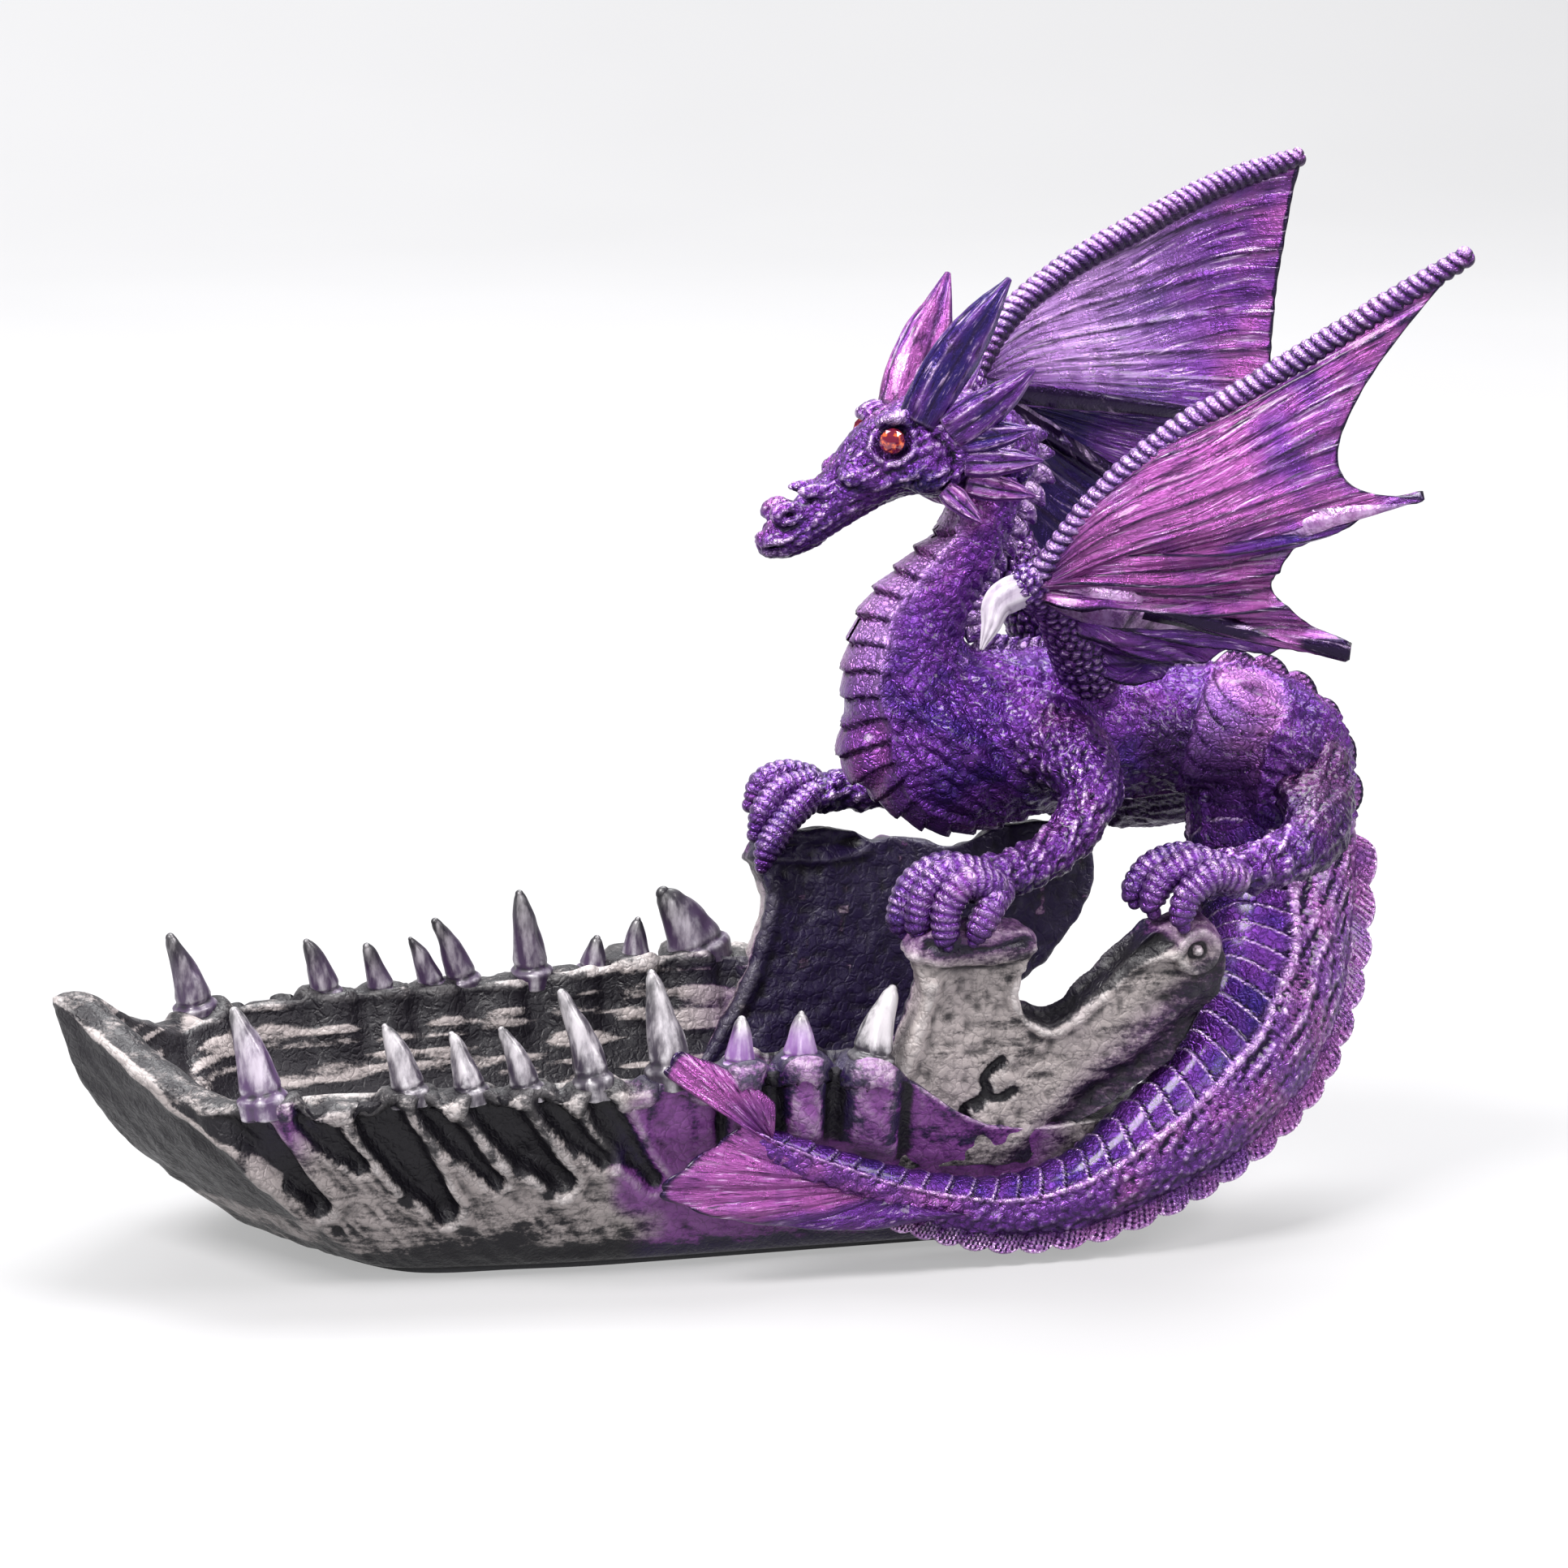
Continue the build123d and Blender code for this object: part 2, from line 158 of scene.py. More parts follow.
def fused(name, parts, voxel=0.7, relaxing=4):  # one skin over several lumps
    obj = bpy.data.objects.new(name, meshOf(name, parts))
    bpy.context.collection.objects.link(obj)
    skin = obj.modifiers.new("skin", "REMESH")
    skin.mode = "VOXEL"
    skin.voxel_size = voxel
    mesh = bpy.data.meshes.new_from_object(obj.evaluated_get(bpy.context.evaluated_depsgraph_get()))
    bpy.data.objects.remove(obj)
    verts = relaxed(mesh, getVerts(mesh), relaxing)
    setVerts(mesh, verts)
    return mesh


def getVerts(mesh):
    out = np.empty(len(mesh.vertices) * 3)
    mesh.vertices.foreach_get("co", out)
    return out.reshape(-1, 3)


def setVerts(mesh, verts):
    mesh.vertices.foreach_set("co", np.ascontiguousarray(verts, dtype=np.float64).ravel())
    mesh.update()


def getNormals(mesh):
    out = np.empty(len(mesh.vertices) * 3, dtype=np.float32)
    mesh.vertex_normals.foreach_get("vector", out)
    return out.reshape(-1, 3).astype(float)


def getEdges(mesh):
    out = np.empty(len(mesh.edges) * 2, dtype=np.int32)
    mesh.edges.foreach_get("vertices", out)
    return out.reshape(-1, 2)


def neighbourMean(edges, values):
    n = len(values)
    i = np.concatenate([edges[:, 0], edges[:, 1]])
    j = np.concatenate([edges[:, 1], edges[:, 0]])
    count = np.maximum(np.bincount(i, minlength=n), 1)
    if values.ndim == 1:
        return np.bincount(i, values[j], minlength=n) / count
    return np.stack([np.bincount(i, values[j, k], minlength=n) / count for k in range(values.shape[1])], -1)


def relaxed(mesh, values, times):
    edges = getEdges(mesh)
    for _ in range(times):
        values = values + 0.5 * (neighbourMean(edges, values) - values)
    return values


def pushed(mesh, amount):  # move the skin along its normals
    setVerts(mesh, getVerts(mesh) + getNormals(mesh) * amount[:, None])


def nearLine(points, line, count=120):  # distance to a smooth line, and how far along it, 0 to 1
    path = smoothPath(line, count)
    dist = np.empty(len(points))
    place = np.empty(len(points))
    for start in range(0, len(points), 8000):
        part = points[start:start + 8000]
        gap = np.linalg.norm(part[:, None] - path[None], axis=2)
        best = gap.argmin(1)
        dist[start:start + 8000] = gap[np.arange(len(part)), best]
        place[start:start + 8000] = best / (count - 1)
    return dist, place


# pebbled, slightly lapped scales, 0 to 1
def scaleRelief(points, spacing, flow=(0, 0, -1), seed=1, tilt=0.5):
    order = np.random.default_rng(seed).permutation(len(points))
    taken, seeds = {}, []
    for k in order:
        p = points[k]
        cx, cy, cz = (int(v // spacing) for v in p)
        crowd = (q for dx in (-1, 0, 1) for dy in (-1, 0, 1) for dz in (-1, 0, 1)
                 for q in taken.get((cx + dx, cy + dy, cz + dz), ()))
        if all((p[0] - q[0]) ** 2 + (p[1] - q[1]) ** 2 + (p[2] - q[2]) ** 2 > spacing**2 for q in crowd):
            taken.setdefault((cx, cy, cz), []).append(p)
            seeds.append(p)
    tree = KDTree(len(seeds))
    for k, p in enumerate(seeds):
        tree.insert(p, k)
    tree.balance()
    found = [tree.find_n(p, 2) for p in points]
    d1 = np.array([f[0][2] for f in found])
    d2 = np.array([f[1][2] for f in found])
    centre = np.array(seeds)[[f[0][1] for f in found]]
    lean = ((points - centre) @ unit(np.array(flow, float))) / spacing
    dome = ease((d2 - d1) / (0.55 * spacing))
    return dome * (0.8 + tilt * lean)


def strokes(points, flow, size, seed):  # uneven carved strokes along the flow, -0.5 to 0.5
    flow = unit(np.array(flow, float))
    return valueNoise(points - 0.78 * np.outer(points @ flow, flow), size, seed) - 0.5


def writeField(mesh, name, values):
    layer = mesh.attributes.get(name) or mesh.attributes.new(name, "FLOAT", "POINT")
    layer.data.foreach_set("value", np.ascontiguousarray(values, dtype=np.float32))


def makePiece(mesh, material, nodes=(), fields=None, crisp=False, reliefGain=1.0):
    # relief is 0.5 on a smooth skin, higher on edges and lower in grooves
    verts, edges = getVerts(mesh), getEdges(mesh)
    size = np.linalg.norm(verts[edges[:, 0]] - verts[edges[:, 1]], axis=1).mean()
    hollow = ((neighbourMean(edges, verts) - verts) * getNormals(mesh)).sum(1) / size
    hollow = hollow + 0.7 * (neighbourMean(edges, hollow) - hollow)
    writeField(mesh, "relief", np.clip(0.5 - 1.9 * reliefGain * hollow, 0, 1))
    for name, values in (fields or {}).items():
        writeField(mesh, name, values)
    setVerts(mesh, verts * mm)
    mesh.shade_flat() if crisp else mesh.shade_smooth()
    obj = bpy.data.objects.new(mesh.name, mesh)
    bpy.context.collection.objects.link(obj)
    mesh.materials.append(material)
    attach(obj, "root")
    if nodes:
        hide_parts(*nodes)
    return obj


def lump(x, y, z, rx, ry, rz):  # a rounded lump, for fusing into a skin
    around = np.linspace(0, 2 * np.pi, 24, endpoint=False)
    tall = np.linspace(-0.5 * np.pi, 0.5 * np.pi, 14)[1:-1]
    rows = [np.stack([x + rx * np.cos(t) * np.cos(around), y + ry * np.cos(t) * np.sin(around),
                      np.full(24, z + rz * np.sin(t))], -1) for t in tall]
    faces = gridFaces(12, 24) + [list(range(24))[::-1], list(range(264, 288))]
    return np.vstack(rows), faces


def onSide(stations, side, forward=0):
    return [(x + forward, side * y, z, w, h) for x, y, z, w, h in stations]


# ---- finishes

def addNode(tree, kind, **values):
    node = tree.nodes.new(kind)
    for key, value in values.items():
        if key in node.inputs:
            node.inputs[key].default_value = value
        else:
            setattr(node, key, value)
    return node


def newGroup(name, inputs, outputs):
    tree = bpy.data.node_groups.new(name, "ShaderNodeTree")
    for label, kind, value in inputs:
        socket = tree.interface.new_socket(label, in_out="INPUT", socket_type="NodeSocket" + kind)
        if value is not None:
            socket.default_value = value
    for label, kind in outputs:
        tree.interface.new_socket(label, in_out="OUTPUT", socket_type="NodeSocket" + kind)
    return tree, tree.nodes.new("NodeGroupInput"), tree.nodes.new("NodeGroupOutput")


def colourMix(tree, factor, a, b, mode="MIX"):
    node = tree.nodes.new("ShaderNodeMix")
    node.data_type = "RGBA"
    node.blend_type = mode
    for socket, value in ((node.inputs[0], factor), (node.inputs[6], a), (node.inputs[7], b)):
        if isinstance(value, bpy.types.NodeSocket):
            tree.links.new(value, socket)
        else:
            socket.default_value = value
    return node.outputs[2]


def ranged(tree, value, low, high, outLow=0.0, outHigh=1.0):
    node = tree.nodes.new("ShaderNodeMapRange")
    node.interpolation_type = "SMOOTHSTEP"
    for socket, v in zip(node.inputs[1:5], (low, high, outLow, outHigh)):
        socket.default_value = v
    tree.links.new(value, node.inputs[0])
    return node.outputs[0]


def mathNode(tree, operation, a, b):
    node = tree.nodes.new("ShaderNodeMath")
    node.operation = operation
    for socket, value in zip(node.inputs, (a, b)):
        if isinstance(value, bpy.types.NodeSocket):
            tree.links.new(value, socket)
        else:
            socket.default_value = value
    return node.outputs[0]


def noiseValue(tree, scale, detail=3.0, stretch=(1, 1, 1), roughness=0.6):
    place = tree.nodes.new("ShaderNodeTexCoord")
    bend = tree.nodes.new("ShaderNodeMapping")
    bend.inputs["Scale"].default_value = stretch
    tree.links.new(place.outputs["Object"], bend.inputs["Vector"])
    noise = addNode(tree, "ShaderNodeTexNoise", Scale=scale, Detail=detail, Roughness=roughness)
    tree.links.new(bend.outputs[0], noise.inputs["Vector"])
    return noise.outputs["Fac"]


def washAndBrushGroup():  # dark wash in the grooves, pale dry brushing on the edges
    tree, use, out = newGroup(
        "washAndBrush",
        [("Relief", "Float", 0.5), ("Paint", "Color", None), ("Wash", "Color", None),
         ("Brush", "Color", None),
         ("Wash Amount", "Float", 0.8), ("Brush Amount", "Float", 0.7)],
        [("Color", "Color"), ("Edge", "Float"), ("Groove", "Float")])
    patchy = noiseValue(tree, 240, 4)
    fine = noiseValue(tree, 900, 2)
    groove = ranged(tree, use.outputs["Relief"], 0.52, 0.26)
    groove = mathNode(tree, "MULTIPLY", groove, use.outputs["Wash Amount"])
    edge = ranged(tree, use.outputs["Relief"], 0.57, 0.88)
    edge = mathNode(tree, "MULTIPLY", edge, ranged(tree, patchy, 0.3, 0.62, 0.25, 1.0))
    edge = mathNode(tree, "MULTIPLY", edge, ranged(tree, fine, 0.3, 0.6, 0.4, 1.0))
    edge = mathNode(tree, "MULTIPLY", edge, use.outputs["Brush Amount"])
    paint = colourMix(tree, groove, use.outputs["Paint"], use.outputs["Wash"])
    paint = colourMix(tree, edge, paint, use.outputs["Brush"])
    for value, label in ((paint, "Color"), (edge, "Edge"), (groove, "Groove")):
        tree.links.new(value, out.inputs[label])
    return tree


def pearlPaintGroup():  # indigo, violet and magenta sprayed over one another
    tree, use, out = newGroup(
        "pearlPaint",
        [("Tint", "Float", 0.5), ("Indigo", "Color", None), ("Violet", "Color", None),
         ("Magenta", "Color", None)],
        [("Color", "Color")])
    drift = ranged(tree, noiseValue(tree, 60, 3), 0.3, 0.7, -0.18, 0.18)
    tint = mathNode(tree, "ADD", use.outputs["Tint"], drift)
    low = colourMix(tree, ranged(tree, tint, 0.1, 0.5), use.outputs["Indigo"], use.outputs["Violet"])
    full = colourMix(tree, ranged(tree, tint, 0.5, 0.95), low, use.outputs["Magenta"])
    tree.links.new(full, out.inputs["Color"])
    return tree


def fineScalesGroup():  # tiny uneven cells and pits that break up the large scales
    tree, use, out = newGroup(
        "fineScales", [("Size", "Float", 700.0), ("Strength", "Float", 0.5)],
        [("Normal", "Vector"), ("Pits", "Float")])
    place = tree.nodes.new("ShaderNodeTexCoord")
    cells = addNode(tree, "ShaderNodeTexVoronoi", feature="DISTANCE_TO_EDGE")
    shift = addNode(tree, "ShaderNodeTexNoise", Scale=300.0, Detail=3.0)
    bent = addNode(tree, "ShaderNodeVectorMath", operation="MULTIPLY_ADD")
    bent.inputs[1].default_value = (0.004, 0.004, 0.004)
    tree.links.new(place.outputs["Object"], shift.inputs["Vector"])
    tree.links.new(shift.outputs["Color"], bent.inputs[0])
    tree.links.new(place.outputs["Object"], bent.inputs[2])
    tree.links.new(bent.outputs[0], cells.inputs["Vector"])
    tree.links.new(use.outputs["Size"], cells.inputs["Scale"])
    rough = noiseValue(tree, 620, 5, (1, 1, 1), 0.7)
    height = mathNode(tree, "ADD", ranged(tree, cells.outputs["Distance"], 0.0, 0.22, 0.0, 0.6), rough)
    bump = addNode(tree, "ShaderNodeBump", Distance=0.0007)
    tree.links.new(use.outputs["Strength"], bump.inputs["Strength"])
    tree.links.new(height, bump.inputs["Height"])
    tree.links.new(bump.outputs[0], out.inputs["Normal"])
    tree.links.new(ranged(tree, height, 0.75, 0.4), out.inputs["Pits"])
    return tree


washAndBrush, pearlPaint, fineScales = washAndBrushGroup(), pearlPaintGroup(), fineScalesGroup()


def placeGroup(tree, group, **values):
    node = tree.nodes.new("ShaderNodeGroup")
    node.node_tree = group
    for key, value in values.items():
        socket = node.inputs[key.replace("_", " ")]
        if isinstance(value, bpy.types.NodeSocket):
            tree.links.new(value, socket)
        else:
            socket.default_value = value
    return node


def newMaterial(name, **settings):
    material = bpy.data.materials.new(name)
    material.use_nodes = True
    shader = material.node_tree.nodes["Principled BSDF"]
    for key, value in settings.items():
        shader.inputs[key].default_value = value
    return material, material.node_tree, shader


def fieldValue(tree, name):
    node = tree.nodes.new("ShaderNodeAttribute")
    node.attribute_name = name
    return node.outputs["Fac"]


dragonLook = dict(
    indigo=(0.018, 0.006, 0.11, 1), violet=(0.105, 0.022, 0.21, 1), magenta=(0.28, 0.07, 0.27, 1),
    lilac=(0.42, 0.23, 0.55, 1), wash=(0.010, 0.002, 0.026, 1), brush=(0.80, 0.58, 0.90, 1), washAmount=1.0,
    brushAmount=0.74,
    pit=0.55, cells=620.0, bump=0.55)


def dragonPaint(name, look, roughness=0.31, metallic=0.76, streaks=0.0):
    material, tree, shader = newMaterial(name, **{
        "Metallic": metallic, "Coat Weight": 0.24, "Coat Roughness": 0.14, "Specular IOR Level": 0.3})
    pearl = placeGroup(tree, pearlPaint, Tint=fieldValue(tree, "tint"), Indigo=look["indigo"],
                       Violet=look["violet"], Magenta=look["magenta"])
    # this field mixes in lilac as a painted highlight
    paint = colourMix(tree, fieldValue(tree, "painted_highlight"), pearl.outputs["Color"], look["lilac"])
    worked = placeGroup(tree, washAndBrush, Relief=fieldValue(tree, "relief"), Paint=paint,
                        Wash=look["wash"], Brush=look["brush"], Wash_Amount=look["washAmount"],
                        Brush_Amount=look["brushAmount"])
    fine = placeGroup(tree, fineScales, Size=look["cells"], Strength=look["bump"])
    pits = mathNode(tree, "MULTIPLY", fine.outputs["Pits"], look["pit"])
    colour = colourMix(tree, pits, worked.outputs["Color"], look["wash"])
    normal = fine.outputs["Normal"]
    if streaks:  # brushed streaks that fan out along a wing or fin
        spread = tree.nodes.new("ShaderNodeCombineXYZ")
        tree.links.new(mathNode(tree, "MULTIPLY", fieldValue(tree, "fan"), streaks), spread.inputs[0])
        tree.links.new(mathNode(tree, "MULTIPLY", fieldValue(tree, "reach"), 5.0), spread.inputs[1])
        fan = addNode(tree, "ShaderNodeTexNoise", Scale=1.0, Detail=4.0, Roughness=0.65)
        tree.links.new(spread.outputs[0], fan.inputs["Vector"])
        colour = colourMix(tree, ranged(tree, fan.outputs["Fac"], 0.48, 0.34, 0.0, 0.85), colour,
                           look["wash"])
        colour = colourMix(tree, ranged(tree, fan.outputs["Fac"], 0.56, 0.72, 0.0, 0.7), colour,
                           look["brush"])
        ridge = addNode(tree, "ShaderNodeBump", Strength=0.8, Distance=0.0009)
        tree.links.new(fan.outputs["Fac"], ridge.inputs["Height"])
        tree.links.new(normal, ridge.inputs["Normal"])
        normal = ridge.outputs[0]
    shaded = colourMix(tree, fieldValue(tree, "shade"), colour, look["wash"])
    tree.links.new(shaded, shader.inputs["Base Color"])
    rough = ranged(tree, noiseValue(tree, 160, 3), 0.3, 0.7, roughness - 0.08, roughness + 0.1)
    tree.links.new(rough, shader.inputs["Roughness"])
    tree.links.new(normal, shader.inputs["Normal"])
    return material


boneLook = dict(
    bone=(0.31, 0.275, 0.27, 1), brush=(0.56, 0.53, 0.53, 1), black=(0.006, 0.005, 0.008, 1),
    purple=(0.17, 0.036, 0.22, 1), indigo=(0.012, 0.005, 0.036, 1), roughness=0.42)


def bonePaint():
    material, tree, shader = newMaterial("bonePaint", **{
        "Metallic": 0.1, "Coat Weight": 0.07, "Coat Roughness": 0.25, "Specular IOR Level": 0.28})
    streak = noiseValue(tree, 210, 5, (0.55, 0.9, 1.9), 0.7)
    speckle = noiseValue(tree, 1100, 3)
    tone = mathNode(tree, "ADD", fieldValue(tree, "tone"), ranged(tree, streak, 0.25, 0.75, -0.34, 0.34))
    tone = mathNode(tree, "ADD", tone, ranged(tree, speckle, 0.2, 0.8, -0.16, 0.16))
    ground = colourMix(tree, ranged(tree, tone, 0.2, 0.8), boneLook["black"], boneLook["bone"])
    dark = colourMix(tree, ranged(tree, tone, 0.0, 0.5), boneLook["indigo"], boneLook["purple"])
    ground = colourMix(tree, fieldValue(tree, "purple"), ground, dark)
    worked = placeGroup(tree, washAndBrush, Relief=fieldValue(tree, "relief"), Paint=ground,
                        Wash=boneLook["black"], Brush=boneLook["brush"], Wash_Amount=0.95,
                        Brush_Amount=ranged(tree, tone, 0.0, 0.7, 0.08, 0.5))
    fine = placeGroup(tree, fineScales, Size=420.0, Strength=0.4)
    colour = colourMix(tree, mathNode(tree, "MULTIPLY", fine.outputs["Pits"], 0.35), worked.outputs["Color"],
                       boneLook["black"])
    tree.links.new(colour, shader.inputs["Base Color"])
    rough = ranged(tree, speckle, 0.2, 0.8, boneLook["roughness"] - 0.12, boneLook["roughness"] + 0.12)
    tree.links.new(rough, shader.inputs["Roughness"])
    tree.links.new(fine.outputs["Normal"], shader.inputs["Normal"])
    return material


def toothPaint():
    material, tree, shader = newMaterial("toothPaint", **{"Coat Weight": 0.3, "Coat Roughness": 0.2})
    tone = mathNode(tree, "ADD", fieldValue(tree, "tone"),
                    ranged(tree, noiseValue(tree, 420, 4, (1, 1, 0.3)), 0.25, 0.75, -0.3, 0.3))
    enamel = colourMix(tree, ranged(tree, tone, 0.1, 0.95), (0.010, 0.009, 0.013, 1), (0.42, 0.40, 0.42, 1))
    enamel = colourMix(tree, fieldValue(tree, "purple"), enamel, (0.22, 0.08, 0.33, 1))
    worked = placeGroup(tree, washAndBrush, Relief=fieldValue(tree, "relief"), Paint=enamel,
                        Wash=(0.01, 0.008, 0.015, 1), Brush=(0.72, 0.70, 0.73, 1), Wash_Amount=0.9,
                        Brush_Amount=0.42)
    tree.links.new(worked.outputs["Color"], shader.inputs["Base Color"])
    tree.links.new(ranged(tree, tone, 0, 1, 0.5, 0.3), shader.inputs["Roughness"])
    return material


def gemGlass():
    material, tree, shader = newMaterial("gemGlass", **{
        "Metallic": 0.35, "Coat Weight": 1.0, "Coat Roughness": 0.02, "Specular IOR Level": 0.8})
    # flash: noise blotches of bright orange, a painted sparkle of light inside the stone
    flash = ranged(tree, noiseValue(tree, 700, 2), 0.48, 0.68)
    tree.links.new(colourMix(tree, flash, (0.15, 0.004, 0.03, 1), (0.80, 0.13, 0.03, 1)),
                   shader.inputs["Base Color"])
    tree.links.new(ranged(tree, flash, 0, 1, 0.05, 0.16), shader.inputs["Roughness"])
    return material


def feltCloth():
    material, tree, shader = newMaterial("feltCloth", **{"Sheen Weight": 0.6})
    fibre = noiseValue(tree, 1500, 4)
    tree.links.new(colourMix(tree, fibre, (0.01, 0.01, 0.012, 1), (0.05, 0.05, 0.055, 1)),
                   shader.inputs["Base Color"])
    tree.links.new(ranged(tree, fibre, 0.2, 0.8, 0.85, 1.0), shader.inputs["Roughness"])
    bump = addNode(tree, "ShaderNodeBump", Strength=0.5, Distance=0.0004)
    tree.links.new(fibre, bump.inputs["Height"])
    tree.links.new(bump.outputs[0], shader.inputs["Normal"])
    return material


scalePaint = dragonPaint("scalePaint", dragonLook)
hornPaint = dragonPaint("hornPaint", {**dragonLook, "brushAmount": 0.8, "pit": 0.1, "bump": 0.15}, 0.28, 0.6,
                        26.0)
wingPaint = dragonPaint("wingPaint", {**dragonLook, "brushAmount": 0.6, "pit": 0.15, "bump": 0.2}, 0.27, 0.76,
                        150.0)
clawPaint = toothPaint()
bone, enamel, gem, felt = bonePaint(), clawPaint, gemGlass(), feltCloth()
print("finishes ready")


# ---- the jaw

toothTable = [  # along, outward, height, radius, lean along, lean outward
    (-121.5, 47.5, 21.5, 5.6, -6.0, -2), (-89.5, 51.5, 15.5, 4.6, -5.0, -2), (-76.0, 52.5, 13, 4.2, -4.0, -2),
    (-63.5, 53.5, 14, 4.0, -5.5, -1), (-48.5, 54.5, 21.5, 4.8, -7.0, -2), (-31.5, 55.0, 23.5, 5.6, -3.5, -2),
    (-15.5, 55.5, 9.5, 4.2, 0.8, -1), (-1.5, 55.5, 9.5, 4.6, 0.4, -1), (14.5, 55.5, 16, 5.4, 5.5, -1)]
# along and height where they differ
farTeeth = {5: (-56, 16), 6: (-39, 21), 7: (-24, 6.5), 8: (-13.5, 9), 9: (2, 15)}
jawForm = dict(bottom=1.2, floor=13.0, ribHeight=1.2, hollowDepth=3.6, rimDip=2.2, collar=1.3,
               around=330)
hollows = [  # start and end along and up, half width, depth
    (-127.5, 43, -109, 20, 3.6, 1.0), (-112.5, 43, -101, 31, 3.0, 0.7), (-98, 43.5, -80.5, 18, 4.6, 1.0),
    (-85.5, 43.5, -70, 25, 2.4, 0.8), (-72.5, 44, -55, 24, 3.8, 1.0), (-59, 44, -46, 29, 2.6, 0.8),
    (-46.5, 41, -34, 23, 3.2, 0.7)]
wallPits = [(-65, 29, 2.0), (-90, 21.5, 1.4), (-104, 13, 1.0), (-58, 21, 0.9)]
rimLine = smoothPath([(-172, 66), (-162, 61.5), (-155, 56), (-148, 50.5), (-138, 44.5), (-129, 43),
                      (-116, 46),
                      (-90, 46.5), (-47, 46.5), (-31, 48), (-15, 50.5), (-2, 51), (12, 50), (25, 43),
                      (38, 34),
                      (52, 30), (96, 30)], 300)
floorLine = smoothPath([(-170, 15), (-95, 13), (0, 13), (30, 16.5), (60, 24), (76, 28.5), (100, 29)], 200)
outerLevels = smoothPath([(1.2, -108, 37, 82), (5, -117, 41.5, 84), (12, -127, 46, 86), (28, -146, 53, 90),
                          (46, -157, 59, 91), (66, -162.3, 61, 91)], 200)
innerLevels = smoothPath([(11, -100, 31, 66), (13, -104, 33, 68), (28, -131, 43, 76), (46, -146, 50, 80),
                          (67, -154, 52, 82)], 200)


def rimAt(x):
    return np.interp(x, rimLine[:, 0], rimLine[:, 1])


def floorAt(x):
    return np.interp(x, floorLine[:, 0], floorLine[:, 1])


def outlineAt(levels, z, count):  # one side of the jaw in plan, each column at its own height
    heights = np.linspace(levels[0, 0], levels[-1, 0], 60)
    stack = []
    for height in heights:
        nose, wide, rear = (np.interp(height, levels[:, 0], levels[:, k]) for k in (1, 2, 3))
        stack.append(smoothPath([(nose, 0), (nose + 0.34 * wide, 0.64 * wide),
                                 (nose + 0.56 * wide, 0.86 * wide),
                                 (nose + 1.13 * wide, 0.95 * wide), (-40, wide), (0, 0.985 * wide),
                                 (rear - 25, 0.93 * wide), (rear - 6, 0.6 * wide), (rear, 0)], count))
    stack = np.array(stack)
    i = np.clip(np.searchsorted(heights, z) - 1, 0, 58)
    f = np.clip((z - heights[i]) / (heights[1] - heights[0]), 0, 1)[:, None]
    cols = np.arange(count)
    return stack[i, cols] * (1 - f) + stack[i + 1, cols] * f


def jawSkin():
    n, rows, kinds = jawForm["around"], [], []
    rim = np.full(n, 46.0)
    for _ in range(4):
        rim = rimAt(outlineAt(outerLevels, rim, n)[:, 0])
    base = outlineAt(outerLevels, np.full(n, jawForm["bottom"]), n)
    for t in (0, 0.4, 0.75, 0.96):  # underside
        spine = np.stack([np.clip(base[:, 0], -60, 40), np.zeros(n)], -1)
        rows.append(np.column_stack([spine + (base - spine) * t, np.full(n, jawForm["bottom"])]))
        kinds.append(0)
    for v in np.linspace(0.02, 1, 52):
        z = jawForm["bottom"] + v * (rim - jawForm["bottom"])
        rows.append(np.column_stack([outlineAt(outerLevels, z, n), z]))
        kinds.append(1)
    top, inside = outlineAt(outerLevels, rim, n), outlineAt(innerLevels, rim, n)
    for t in np.linspace(0.12, 0.88, 7):
        rows.append(np.column_stack([top + (inside - top) * t, rim + 1.6 * math.sin(math.pi * t)]))
        kinds.append(2)
    low = outlineAt(innerLevels, np.full(n, jawForm["floor"]), n)
    for v in np.linspace(1, 0, 36):
        z = rim * v + np.maximum(floorAt(low[:, 0]), jawForm["floor"]) * (1 - v)
        rows.append(np.column_stack([outlineAt(innerLevels, z, n), z]))
        kinds.append(3)
    low = rows[-1][:, :2]
    for t in np.linspace(0.9, 0, 12):
        spine = np.stack([np.clip(low[:, 0], -70, 45), np.zeros(n)], -1)
        plan = spine + (low - spine) * t
        rows.append(np.column_stack([plan, np.maximum(floorAt(plan[:, 0]), jawForm["floor"])]))
        kinds.append(4)
    loop = []
    for row in rows:
        nearSide = row * (1, -1, 1)
        loop.append(np.vstack([nearSide, row[::-1][1:-1]]))
    cols = 2 * n - 2
    return np.vstack(loop), gridFaces(len(loop), cols), np.repeat(kinds, cols)


